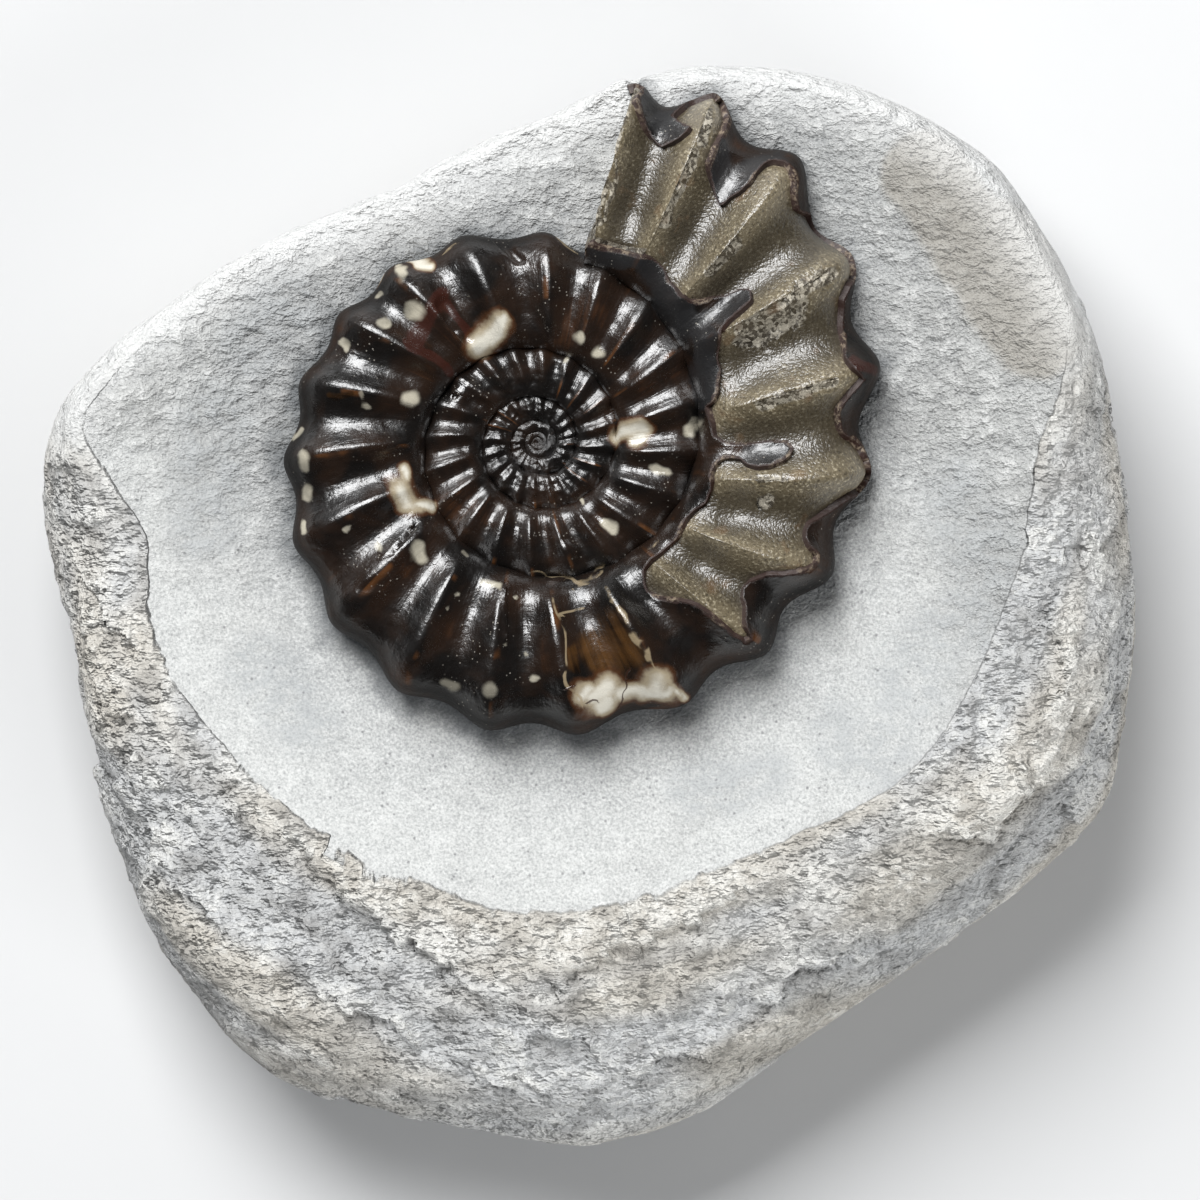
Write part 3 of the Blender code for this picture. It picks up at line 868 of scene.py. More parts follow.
start_angle = APERTURE + FIRST_COLUMN
nodule_angles = np.linspace(start_angle, start_angle + 359.6, NODULE_COLUMNS)
coil_angles = nodule_angles - 360.0
past_turn = (nodule_angles - APERTURE + 180.0) % 360.0 - 180.0
near_mouth = fade(*NEAR_MOUTH, np.abs(past_turn))
past_mouth = fade(*AFTER_MOUTH, past_turn) * fade(*BEFORE_MOUTH, past_turn)
touch_radius = tube(coil_angles, 0.0 * coil_angles)[0] - TOUCH_OVERLAP
mouth_radius = tube(np.array(start_angle), 0.0)[0] - MOUTH_OVERLAP
room = SILHOUETTE_ROOM * (1.0 - (1.0 - MOUTH_ROOM_SHARE) * near_mouth)
outline_radius = radius_from_centre(OUTLINE, nodule_angles) - room
edge_radius = np.minimum(radius_from_centre(DISH_EDGE, nodule_angles), outline_radius - LEAST_BAND)
edge_radius = np.maximum(edge_radius, touch_radius + LEAST_DISH)
edge_radius += np.maximum(mouth_radius - edge_radius, 0.0) * past_mouth
outline_radius = np.maximum(outline_radius, edge_radius + LEAST_DISH)
print("the dish is", round(float((edge_radius - touch_radius).max()), 1), "mm wide at its widest")

# %% [markdown]
# Each ring has a height to go with its place. The dish is flat near the ammonite and curves up
# towards its edge. Over the rim and down the side the section is a rounded square, which lies
# between a circle and a box.

# %% The nodule's smooth form
def dish_height(x, y):
    """The dish is flat round the ammonite and curves up towards its edge."""
    distance = np.hypot(x - CENTRE[0], y - CENTRE[1])
    past_flat = np.maximum(0.0, distance - DISH_FLAT_RADIUS)
    return DISH_FLOOR_Z + DISH_RISE * past_flat ** DISH_RISE_POWER


def ring_at(radius, height):
    """A ring of points round the ammonite's centre."""
    return to_points(radius, nodule_angles, 0.0 * nodule_angles + height - CENTRE[2])


def dish_ring(share):
    """A ring in the dish: share goes from 0 at the ammonite to 1 at the dish's edge."""
    ring = ring_at(touch_radius + share * (edge_radius - touch_radius), 0.0)
    ring[:, 2] = dish_height(ring[:, 0], ring[:, 1])
    return ring


def band_ring(turn):
    """A ring on the rounded rim: turn goes from 0 at the dish to 90 at the outline."""
    power = 2.0 / BAND_ROUNDNESS
    share, drop = math.sin(math.radians(turn)) ** power, math.cos(math.radians(turn)) ** power
    ring = ring_at(edge_radius + share * (outline_radius - edge_radius), 0.0)
    ring[:, 2] = EQUATOR_Z + (dish_ring(1.0)[:, 2] - EQUATOR_Z) * drop
    return ring


def side_ring(turn):
    """A ring on the side below the outline: turn goes from 0 at the outline to 90 at the base."""
    power = 2.0 / SIDE_ROUNDNESS
    share, drop = math.cos(math.radians(turn)) ** power, math.sin(math.radians(turn)) ** power
    ring = ring_at(outline_radius, 0.0)
    ring[:, :2] *= BASE_SHARE + (1.0 - BASE_SHARE) * share
    ring[:, 2] = EQUATOR_Z * (1.0 - drop)
    return ring


DISH_RINGS, BAND_RINGS, SIDE_RINGS = 34, 56, 20
BAND_WIDTHS, DROP_REACH = (2.0, 7.0), (7.5, 0.0)
rings = [dish_ring(share) for share in np.linspace(0.0, 1.0, DISH_RINGS)]
rings += [band_ring(turn) for turn in np.linspace(0.0, 90.0, BAND_RINGS + 1)[1:]]
rings += [side_ring(turn) for turn in np.linspace(0.0, 90.0, SIDE_RINGS + 1)[1:]]
nodule_grid = np.array(rings)
wide_band = fade(*BAND_WIDTHS, outline_radius - edge_radius)[None, :]
inland = outline_radius - np.hypot(nodule_grid[..., 0] - CENTRE[0], nodule_grid[..., 1] - CENTRE[1])
over_equator = (nodule_grid[..., 2] - EQUATOR_Z) / (nodule_grid[DISH_RINGS - 1, :, 2] - EQUATOR_Z)
edge_drop = EDGE_DROP * (1.0 - wide_band) * fade(*DROP_REACH, inland)
edge_drop *= np.clip(over_equator, 0.0, 1.0)
nodule_grid[..., 2] -= edge_drop
nodule_normals = grid_normals(nodule_grid)
nodule_normals *= np.sign(nodule_normals[DISH_RINGS // 2, :, 2].sum())
print("nodule grid:", nodule_grid.shape[:2], "rings and columns")

# %% [markdown]
# The rim is broken stone. Its swells and beds run round the nodule, so their noise is stretched
# that way: the points are wrapped onto a narrow cylinder, whose height is the way walked outwards
# from the dish. Two sizes of flakes and fine ridges follow the beds. A few long ledges are lines
# of their own, where the stone steps down on one side.

# %% Relief of the broken stone
WRAP_RADIUS = 19.0
SWELL_HEIGHT, RIDGE_HEIGHT = 1.3, 0.14
FLAKE_LAYERS = ((0.50, 0.4, 4.2, 81), (0.30, 0.5, 1.9, 91))
LEDGES = [
    ((246, 822), (304, 858), (356, 914), (428, 958), (492, 1016), 1.1, 5.0),
    ((157, 888), (198, 912), (237, 943), 0.7, 2.5),
    ((291, 990), (340, 1004), (387, 1022), (412, 1054), 0.9, 3.0),
    ((205, 770), (262, 790), (330, 800), (392, 838), 0.8, 4.0),
    ((520, 1000), (600, 960), (700, 905), (790, 880), 0.8, 5.0),
    ((700, 1020), (800, 985), (872, 930), 0.7, 4.0),
    ((905, 840), (985, 835), (1050, 790), (1100, 760), 0.8, 4.0),
    ((75, 560), (110, 600), (140, 660), 0.6, 3.0),
    ((1040, 600), (1062, 680), (1030, 740), 0.7, 3.0),
    ((995, 175), (1035, 240), (1062, 330), (1082, 420), 0.7, 2.5),
]


def ledge_relief(points):
    """Sharp steps along the ledges that fade away to both sides."""
    total = 0.0
    for *places, height, reach in LEDGES:
        line = np.array([mark_place(*place) for place in places])
        nearest = np.full(points.shape[:-1], np.inf)
        side_of, along = np.zeros_like(nearest), np.zeros_like(nearest)
        for index, (start, end) in enumerate(zip(line, line[1:])):
            share, distance = to_line(points, start, end)
            closer = distance < nearest
            nearest = np.where(closer, distance, nearest)
            side_of = np.where(closer, line_side(points, start, end), side_of)
            along = np.where(closer, (index + share) / (len(line) - 1), along)
        ends = np.sqrt(np.sin(np.pi * np.clip(along, 0.0, 1.0)))
        total = total + 0.5 * height * side_of * ends * np.exp(-nearest / reach)
    return total


walk = np.linalg.norm(np.diff(nodule_grid, axis=0), axis=-1)
walk = np.concatenate([np.zeros((1, NODULE_COLUMNS)), np.cumsum(walk, axis=0)])
walk -= walk[DISH_RINGS - 1]
turn = np.radians(nodule_angles)[None, :] + 0.0 * walk
bedded = np.stack([WRAP_RADIUS * np.cos(turn), WRAP_RADIUS * np.sin(turn), walk], axis=-1)
ragged = wavy(nodule_grid, 2.5, 1.2, 61)
swell = layered_noise(bedded, 8.0, 2, seed=71)
fine_relief = RIDGE_HEIGHT * layered_noise(bedded + 0.3 * ragged, 1.1, 2, seed=101, ridged=True)
for height, push, size, seed in FLAKE_LAYERS:
    fine_relief += height * flakes(bedded + push * ragged, size, seed)
fine_relief += ledge_relief(ragged)
relief = SWELL_HEIGHT * swell + fine_relief
print("relief of the rim: from", np.round([relief.min(), relief.max()], 1), "mm")

# %% [markdown]
# The dish is worked smooth. The rough surface is carried on a little way over the dish, and the
# lower of the two wins, so that the edge between them is ragged in a natural way: it is the
# line where the smooth cut comes out through the broken face.

# %% Rough rim and smooth dish
BASE_FADE_RINGS = 5
SEAM_STRENGTH, THIN_BAND_STRENGTH, STRENGTH_REACH = 0.20, 0.35, (0.0, 4.0)
OUTLINE_REACH, OUTLINE_HOLD = (9.0, 4.0), 0.55
CARRY_SLOPE = 0.55
ring_number = np.arange(nodule_grid.shape[0])[:, None]
last_ring = nodule_grid.shape[0] - 1
growing = fade(*STRENGTH_REACH, walk)
strength = wide_band * (SEAM_STRENGTH + (1.0 - SEAM_STRENGTH) * growing)
strength += THIN_BAND_STRENGTH * (1.0 - wide_band) * growing
strength *= fade(last_ring, last_ring - BASE_FADE_RINGS, ring_number)
near_outline = fade(*OUTLINE_REACH, np.abs(nodule_grid[..., 2] - EQUATOR_Z))
moved = relief * strength
moved = np.where(moved > 0.0, moved * (1.0 - OUTLINE_HOLD * near_outline), moved)
rough_face = nodule_grid + nodule_normals * moved[..., None]
rough_face[..., 2] += np.clip(-walk, 0.0, None) * CARRY_SLOPE
print("the rim is moved by up to", round(float(np.abs(moved).max()), 1), "mm")

# %% [markdown]
# The dish isn't quite even either. Towards the top of the view and on the far right the cleaned
# face is coarser, with brush marks and small flakes.

# %% The face of the dish
COARSE_ABOVE, COARSE_RIGHT = (-8.0, 26.0), (30.0, 42.0)
DISH_WAVES, BRUSH_HEIGHT, CHIP_HEIGHT = 0.05, 0.13, 0.06
FOOT_REACH, NO_DISH = (0.0, 5.0), -3.0
coarse = fade(*COARSE_ABOVE, nodule_grid[..., 1]) + fade(*COARSE_RIGHT, nodule_grid[..., 0])
coarse = np.clip(coarse, 0.0, 1.0)
dish_relief = DISH_WAVES * layered_noise(nodule_grid, 4.0, 3, seed=111)
dish_relief += coarse * BRUSH_HEIGHT * layered_noise(nodule_grid, 1.9, 3, seed=121)
dish_relief += coarse * CHIP_HEIGHT * flakes(nodule_grid, 1.2, seed=125)
dish_face = dish_height(rough_face[..., 0], rough_face[..., 1]) + dish_relief - edge_drop
on_side = fade(*FOOT_REACH, EQUATOR_Z - nodule_grid[..., 2])
rough_face[..., 2] += dish_relief * (1.0 - wide_band) * (1.0 - on_side)
on_top = ring_number < DISH_RINGS + BAND_RINGS // 2
above_dish = np.where(on_top, rough_face[..., 2] - dish_face, NO_DISH)
nodule_surface = rough_face.copy()
nodule_surface[..., 2] = np.where(above_dish > 0.0, dish_face, rough_face[..., 2])
nodule_surface[..., 2] = np.maximum(nodule_surface[..., 2], 0.0)
print("the dish's face goes up to", round(float(dish_face[:DISH_RINGS].max()), 1), "mm")

# %% [markdown]
# Both ends of the grid of rings are open. Under the ammonite two more rings lead down into the
# stone, out of sight, and under the base two lead to the middle. A flat face closes each end.
# A closed mesh is needed for light to behave, and for anyone who prints or weighs the piece.

# %% Closing the nodule under the ammonite and under the base
UNDER_STEPS = ((3.5, 7.0), (1.2, 2.2))
BASE_SHARES = (0.6, 0.2)


def under_ring(step_in, step_down):
    """A ring under the ammonite, a step in and a step down from where it touches the stone."""
    ring = ring_at(np.maximum(touch_radius - step_in, 2.0), 0.0)
    ring[:, 2] = nodule_surface[0, :, 2] - step_down
    return ring


under = [under_ring(*steps) for steps in UNDER_STEPS]
base = [nodule_surface[-1] * np.array((share, share, 0.0)) for share in BASE_SHARES]
nodule_points = np.concatenate([under, nodule_surface, base])
nodule_faces = closed_faces(*nodule_points.shape[:2])
nodule = new_piece("limestone_nodule", nodule_points.reshape(-1, 3), nodule_faces)
print("nodule:", nodule_points.shape[:2], "rings and columns")

# %% [markdown]
# The finish of the stone changes from place to place. Each vertex keeps how far the rough face
# stands above the dish, how close the ammonite is, how high it lies in the relief, which of the
# two tints of stone it has, how coarse it is, whether it is on the broken rim or on the crest of
# a thin one, where a painted highlight goes, which way its beds run, and whether it lies in the
# beige patch or in a bluish patch of painted shade.

# %% Places on the nodule
BEIGE = [(925, 178, 1035, 330, 46.0), (985, 250, 1020, 300, 52.0)]
# Bluish patches of painted shade beside the ammonite.
SHADE_PATCHES = [
    (965, 618, 1000, 640, 40.0), (850, 740, 880, 752, 42.0), (700, 790, 770, 775, 34.0),
    (905, 690, 940, 640, 46.0), (955, 500, 985, 560, 44.0), (215, 420, 205, 520, 40.0),
    (262, 660, 300, 720, 34.0), (250, 340, 290, 300, 40.0),
]
PATCH_EDGE, SHADE_PATCH_EDGE = (1.12, 0.88), (1.35, 0.45)
CLEAN_BELOW, CLEAN_LEFT = (-75.0, -40.0), (-190.0, -230.0)
CREST_REACH, BELOW_REACH = (7.0, 0.5), (1.0, 6.0)
END_ROWS = 2


def with_ends(values, under_value, base_value):
    """Adds the rings under the ammonite and under the base to the values of a grid."""
    filled = np.zeros(nodule_surface.shape[:2]) + values
    under_rows = np.full((END_ROWS, NODULE_COLUMNS), under_value)
    base_rows = np.full((END_ROWS, NODULE_COLUMNS), base_value)
    return np.concatenate([under_rows, filled, base_rows]).ravel()


from_centre = nodule_surface[..., :2] - CENTRE[:2]
touch_gap = np.hypot(from_centre[..., 0], from_centre[..., 1]) - touch_radius
clean_side = 1.3 * fade(*CLEAN_BELOW, coil_angles) + 0.8 * fade(*CLEAN_LEFT, coil_angles)
patch_ragged = 0.30 * layered_noise(nodule_grid, 6.0, 3, seed=131)
beige = marked(nodule_surface, BEIGE, *PATCH_EDGE, patch_ragged) * fade(0.5, 3.0, touch_gap)
tint = swell + 0.4 * layered_noise(bedded, 3.0, 2, seed=141)
rim = np.maximum(wide_band, fade(*BELOW_REACH, EQUATOR_Z - nodule_grid[..., 2]))
for label, values, under_value, base_value in (
    ("dish", np.clip(above_dish, -3.0, 3.0), 1.0, -3.0),
    ("touch", np.clip(touch_gap + clean_side, 0.0, 20.0), 0.0, 20.0),
    ("relief", np.clip(fine_relief, -2.0, 2.0), 0.0, 0.0),
    ("tint", tint, 0.0, 0.0),
    ("coarse", coarse, 0.0, 0.5),
    ("rim", rim, 0.0, 1.0),
    ("crest", (1.0 - wide_band) * fade(*CREST_REACH, inland), 0.0, 0.0),
    ("beige", beige, 0.0, 0.0),
    ("patch_shade", marked(nodule_surface, SHADE_PATCHES, *SHADE_PATCH_EDGE, 1.3 * patch_ragged), 0.0, 0.0),
):
    store(nodule, label, with_ends(values, under_value, base_value))
bed_rows = np.zeros((nodule_points.shape[0], NODULE_COLUMNS, 3))
bed_rows[END_ROWS:-END_ROWS] = (bedded + 0.35 * ragged) * MM
beds = nodule.data.attributes.new("beds", "FLOAT_VECTOR", "POINT")
beds.data.foreach_set("vector", bed_rows.ravel())
print("the beige patch covers", round(float(beige.mean() * 100.0), 1), "% of the nodule's vertices")

# %% [markdown]
# ## Shading with arithmetic
#
# A finish is a web of nodes, and most of it is arithmetic. The nodes could be added and linked
# one by one, but then a sum of a few terms takes a page. So the Wire class wraps one output
# socket, and Python's own + - * and % add the Math nodes. Their reflected forms make
# 1.0 - mask work too. Any other kind of node comes from its one method, node.

# %% The Wire class
def arithmetic(operation):
    """Two methods that add one Math node: with the wire first, and with the wire second."""
    def straight(self, other):
        return self.node("Math", {"operation": operation}, {0: self, 1: other})

    def reflected(self, other):
        return self.node("Math", {"operation": operation}, {0: other, 1: self})

    return straight, reflected


class Wire:
    """An output socket of a material's node tree that takes part in arithmetic."""

    def __init__(self, tree, socket=None):
        self.tree = tree
        self.socket = socket

    def node(self, kind, settings=None, sockets=None, output=0):
        """Adds a node: its settings first, then values or wires for its sockets."""
        made = self.tree.nodes.new("ShaderNode" + kind)
        for name, value in (settings or {}).items():
            setattr(made, name, value)
        for name, value in (sockets or {}).items():
            if isinstance(value, Wire):
                self.tree.links.new(value.socket, made.inputs[name])
            else:
                made.inputs[name].default_value = value
        return Wire(self.tree, made.outputs[output])

    __add__, __radd__ = arithmetic("ADD")
    __sub__, __rsub__ = arithmetic("SUBTRACT")
    __mul__, __rmul__ = arithmetic("MULTIPLY")
    __mod__, __rmod__ = arithmetic("FLOORED_MODULO")

    def __abs__(self):
        return self.node("Math", {"operation": "ABSOLUTE"}, {0: self})


# %% [markdown]
# A few words serve every finish: noise given by the size of its lumps in millimetres, a number
# stored on the mesh, a smooth step, and coats of colour laid over one another.

# %% Shading words
def start_finish(name):
    """A new material, the wire of its places in metres, and its Principled shader."""
    material = bpy.data.materials.new(name)
    material.use_nodes = True
    tree = material.node_tree
    tree.nodes.clear()
    shader = tree.nodes.new("ShaderNodeBsdfPrincipled")
    output = tree.nodes.new("ShaderNodeOutputMaterial")
    tree.links.new(shader.outputs[0], output.inputs["Surface"])
    place = Wire(tree).node("TexCoord", output="Object")
    return material, place, shader


def connect(wire, node, name):
    wire.tree.links.new(wire.socket, node.inputs[name])


def outlet(wire, name):
    """Another output of the node that a wire comes from."""
    return Wire(wire.tree, wire.socket.node.outputs[name])


def stored(wire, name):
    """A number that store kept on the mesh."""
    return wire.node("Attribute", {"attribute_name": name}, output="Fac")


def noise(place, size, detail=2.0, rough=0.5, warp=0.0):
    """Noise from 0 to 1 with lumps about size mm wide."""
    sockets = {"Vector": place, "Scale": 1.0 / (size * MM), "Detail": detail}
    sockets.update({"Roughness": rough, "Distortion": warp})
    return place.node("TexNoise", {}, sockets, output="Fac")


def cells(place, size, output="Distance"):
    """Scattered cells about size mm wide."""
    sockets = {"Vector": place, "Scale": 1.0 / (size * MM)}
    return place.node("TexVoronoi", {}, sockets, output=output)


def vector(operation, first, second, output=0):
    return first.node("VectorMath", {"operation": operation}, {0: first, 1: second}, output=output)


def step(wire, low, high):
    """Goes smoothly from 0 where wire is low to 1 where it is high."""
    sockets = {"Value": wire, "From Min": low, "From Max": high, "To Min": 0.0, "To Max": 1.0}
    return wire.node("MapRange", {"interpolation_type": "SMOOTHSTEP"}, sockets)


def blend(share, first, second):
    """A colour between first and second, as share goes from 0 to 1."""
    first, second = (tone if isinstance(tone, Wire) else (*tone, 1.0) for tone in (first, second))
    settings = {"data_type": "RGBA", "clamp_factor": True}
    return share.node("Mix", settings, {0: share, 6: first, 7: second}, output=2)


def coats(colour, *layers):
    """Lays coats over a colour. Each is the share that it covers, and its own colour."""
    for share, tone in layers:
        colour = blend(share, colour, tone)
    return colour


def bump(height, strength, distance):
    sockets = {"Height": height, "Strength": strength, "Distance": distance * MM}
    return height.node("Bump", {}, sockets)


# %% [markdown]
# Chips are the same tilted facets as the flakes of the mesh, but drawn by nodes and much
# smaller. Their places are bent a little first, so that no edge between two chips is straight.

# %% Chips
BEND_SIZE, BEND_REACH = 1.4, 0.40
CHIP_TILT = 1.6
MIDDLE = (0.5, 0.5, 0.5)


def bent(place, size, reach):
    """The place, pushed about by noise. Both lengths are in mm."""
    push = vector("SUBTRACT", outlet(noise(place, size), "Color"), MIDDLE)
    return vector("ADD", place, vector("MULTIPLY", push, (reach * MM,) * 3))


def chips(place, size):
    """Height of small tilted facets, about -0.5 to 0.5, and a random number for each."""
    curved = bent(place, size * BEND_SIZE, size * BEND_REACH)
    random = cells(curved, size, output="Color")
    arm = vector("SUBTRACT", curved, outlet(random, "Position"))
    tilt = vector("SUBTRACT", random, MIDDLE)
    height = vector("DOT_PRODUCT", arm, tilt, output="Value") * (CHIP_TILT / (size * MM))
    return height, random.node("SeparateColor", {}, {"Color": random}, output=0)


# %% [markdown]
# ## Limestone
#
# On the real nodule the dish is worked smooth: a fine, dusty, pale grey face with dark specks.
# Bluish patches of painted shade lie beside the ammonite, and round it the dish gets painted
# shade and a stain that is partly painted shade. Pictures of stone could be wrapped round it, but
# noise that fills space has no seams and fits the shape by itself. Each kind of mark gets noise of
# its own size, from grains of 0.26 mm to clouds of 9 mm, and is laid on as a coat of colour. At
# the top of the view the face is coarser, which the mesh has stored.

# %% Colours of the dish
PALE_STONE, GREY_STONE = (0.49, 0.495, 0.485), (0.36, 0.36, 0.35)
SHADED_STONE, LIGHT_GRAIN = (0.25, 0.255, 0.26), (0.84, 0.84, 0.82)
DARK_CLOUD, DARK_GRAIN = (0.19, 0.195, 0.20), (0.16, 0.165, 0.17)
BEIGE_STONE, PATCH_SHADE_STONE = (0.30, 0.275, 0.235), (0.31, 0.325, 0.335)
CREST_HIGHLIGHT, SPECK, STAIN_AND_SHADE = (0.86, 0.86, 0.85), (0.12, 0.12, 0.125), (0.085, 0.093, 0.10)


def dish_colour(place, coarse, fine, mottle, patches):
    """Clouds, grains, patches and specks, with painted shade near the ammonite, bluish patches of
    painted shade, a painted highlight on thin crests, and a stain round the ammonite that is partly
    painted shade.
    """
    touch = stored(place, "touch")
    shade_by_ammonite = 1.0 - step(touch + (patches - 0.5) * 12.0, 1.0, 13.0)
    speck = (1.0 - step(cells(place, 0.85), 0.10, 0.24)) * step(noise(place, 2.0, 1.0), 0.48, 0.62)
    stain_and_shade_edge = touch + (noise(place, 3.5, 4.0, 0.6) - 0.5) * 5.0
    return coats(
        blend(coarse * 0.7 + (patches - 0.5) * 1.8, PALE_STONE, GREY_STONE),
        # painted shade on the dish near the ammonite
        (shade_by_ammonite * 0.42, SHADED_STONE),
        (step(mottle, 0.50, 0.70) * (0.15 + coarse * 0.25), LIGHT_GRAIN),
        ((1.0 - step(mottle, 0.30, 0.50)) * (0.15 + coarse * 0.20), DARK_CLOUD),
        ((fine - 0.46) * (1.7 - coarse * 0.6), LIGHT_GRAIN),
        ((0.48 - fine) * (2.1 - coarse * 0.8), DARK_GRAIN),
        (stored(place, "beige") * 0.65, BEIGE_STONE),
        # bluish patches of painted shade beside the ammonite
        (stored(place, "patch_shade") * step(mottle, 0.30, 0.62) * 0.50, PATCH_SHADE_STONE),
        # painted highlight on the crest where the rim is thin
        (stored(place, "crest") * 0.55, CREST_HIGHLIGHT),
        (speck * 0.6, SPECK),
        # a stain round the ammonite that is partly painted shade
        ((1.0 - step(stain_and_shade_edge, 0.2, 3.6)) * 0.74, STAIN_AND_SHADE),
    )


# %% [markdown]
# The broken rim has two tints, a warm one and a bluish one. Its raised edges are painted paler
# as highlights, and its hollows darker as painted shade, so both follow the relief that the
# mesh has stored and the ripples that the bump adds.

# %% Colours of the rim
BLUISH_STONE, WARM_STONE = (0.535, 0.54, 0.54), (0.57, 0.54, 0.485)
PALE_CHIP, RAISED_EDGE_HIGHLIGHT = (0.78, 0.77, 0.73), (0.80, 0.79, 0.75)
HOLLOW_SHADE, RIM_GRAIN = (0.12, 0.11, 0.10), (0.14, 0.13, 0.12)


def rim_colour(place, fine, swells, ripple, chip_tone):
    """Two tints, with a painted highlight on raised edges and painted shade in the hollows."""
    relief = stored(place, "relief")
    hollow = 1.0 - step(relief * 0.8 + swells * 1.1 + ripple * 0.3, -0.95, 0.35)
    return coats(
        blend(step(stored(place, "tint"), -0.35, 0.45), BLUISH_STONE, WARM_STONE),
        (step(chip_tone, 0.45, 0.95) * 0.14, PALE_CHIP),
        # painted highlight on the raised edges
        (step(relief + ripple * 0.7, 0.00, 0.70) * 0.60, RAISED_EDGE_HIGHLIGHT),
        # painted shade in the hollows
        (hollow * 0.46, HOLLOW_SHADE),
        ((0.47 - fine) * 1.6, RIM_GRAIN),
    )


# %% [markdown]
# The finish mixes the two along the edge of the dish. Ripples on the rim and brush marks in
# the dish lie across the view, so their noise is drawn out that way. Relief finer than the
# mesh is bump: it stops at lumps of about 0.2 mm, because smaller ones would only turn the
# stone grey.

# %% The limestone finish
DISH_DRAWN_OUT, RIM_DRAWN_OUT = (0.75, 1.0, 1.0), (0.68, 1.10, 1.0)


def limestone_finish(slot):
    material, place, shader = start_finish(slot)
    coarse = stored(place, "coarse")
    fine = noise(place, 0.26, 2.0, 0.70)
    mottle = noise(vector("MULTIPLY", place, DISH_DRAWN_OUT), 1.6, 4.0, 0.66)
    patches = noise(place, 9.0, 2.0, 0.55)
    laid = vector("MULTIPLY", place, RIM_DRAWN_OUT)
    chip, chip_tone = chips(laid, 0.50)
    swells = (noise(outlet(stored(place, "beds"), "Vector"), 2.4, 1.0) - 0.5) * 1.9
    ripple = (noise(laid, 0.85, 2.0, 0.66) - 0.5) * 1.8 + swells
    is_dish = step(stored(place, "dish") + (mottle - 0.5) * 0.25, -0.05, 0.05)
    is_broken = (1.0 - is_dish) * stored(place, "rim")

    smooth = dish_colour(place, coarse, fine, mottle, patches)
    broken = rim_colour(place, fine, swells, ripple, chip_tone)
    connect(blend(is_broken, smooth, broken), shader, "Base Color")
    shader.inputs["Roughness"].default_value = 0.9
    shader.inputs["Specular IOR Level"].default_value = 0.3

    smooth_height = fine * 0.14 + mottle * (0.25 + coarse * 1.7) + patches * 1.6
    rough_height = ripple * 1.05 + chip * 0.70 + fine * 0.22
    height = smooth_height + is_broken * (rough_height - smooth_height)
    connect(bump(height, 1.0, 0.85), shader, "Normal")
    return material


# %% [markdown]
# ## Dark calcite
#
# The shell has turned to near-black calcite, brown and amber where light gets into it. Fine
# growth lines run along the ribs, so their noise is measured along the tube instead of in
# space: it is twelve times as fine from rib to rib as it is across them. Some crests are rubbed
# through to amber.

# %% Colours of the dark calcite
BLACK_CALCITE, BROWN_CALCITE = (0.0065, 0.0055, 0.005), (0.017, 0.0095, 0.0062)
GROWTH_BROWN, RUBBED_CREST = (0.065, 0.026, 0.010), (0.12, 0.045, 0.012)
DEEP_AMBER, CLEAR_AMBER = (0.006, 0.003, 0.0015), (0.085, 0.038, 0.010)
EMBER_RED, OUTER_BLACK = (0.045, 0.012, 0.008), (0.010, 0.0085, 0.0075)
SLATE_GREY, DUST = (0.019, 0.019, 0.020), (0.40, 0.37, 0.32)


def growth_lines(place, ribs, across):
    lines = place.node("CombineXYZ", {}, {0: ribs * 12.0, 1: across * 1.6, 2: ribs * 0.05})
    sockets = {"Vector": lines, "Scale": 1.0, "Detail": 3.0}
    return place.node("TexNoise", {}, sockets, output="Fac")


def dark_calcite(place, ribs, across, striae, depth, ragged, venter, slate):
    """The shell's own colours, from its depth outwards to the dust on it."""
    flank = step(across, 0.0, 0.25) * (1.0 - step(across, 0.78, 0.95))
    past_crest = ribs % 1.0
    rubbed = step(past_crest, 0.0, 0.03) * (1.0 - step(past_crest, 0.05, 0.14))
    rubbed = rubbed * flank * step(noise(place, 4.0, 2.0), 0.54, 0.66)
    amber = blend(step(striae + (depth - 0.5), 0.30, 0.80), DEEP_AMBER, CLEAR_AMBER)
    dust = (1.0 - step(cells(place, 0.55), 0.10, 0.17)) * step(noise(place, 7.0, 2.0), 0.50, 0.62)
    return coats(
        blend(step(depth, 0.38, 0.62), BLACK_CALCITE, BROWN_CALCITE),
        (step(depth + (striae - 0.5) * 0.4, 0.60, 0.80) * flank * 0.5, GROWTH_BROWN),
        (rubbed * 0.6, RUBBED_CREST),
        (step(stored(place, "amber") + ragged, -0.15, 0.6) * 0.8, amber),
        (step(stored(place, "ember") + ragged, -0.1, 0.4) * 0.6, EMBER_RED),
        (venter * 0.6, OUTER_BLACK),
        (slate * 0.75, SLATE_GREY),
        (dust * 0.5, DUST),
    )


# %% [markdown]
# White calcite fills spots, patches and veins, and one more spot is a painted glint. The marks
# could be painted on a picture, but that would blur close up. Here each mark is a distance stored
# on the mesh, and fine noise makes its edge uneven. Round a patch the dark calcite has a brown
# halo.

# %% Colours of the white calcite
HALO, YELLOW_CREAM, WHITE_CREAM = (0.085, 0.033, 0.012), (0.34, 0.285, 0.195), (0.60, 0.57, 0.49)
VEIN, SPOT_AND_GLINT, CRACK = (0.30, 0.235, 0.145), (0.52, 0.48, 0.38), (0.035, 0.014, 0.008)
LINE_EDGE, LINE_ENDS = (0.6, 1.3), (-2.5, -1.0)


def line_mask(place, name, ragged):
    """1 along thin lines that are stored as a signed distance, with uneven edges."""
    on_line = 1.0 - step(abs(stored(place, name) + ragged * 1.5), *LINE_EDGE)
    return on_line * step(stored(place, name + "_near"), *LINE_ENDS)


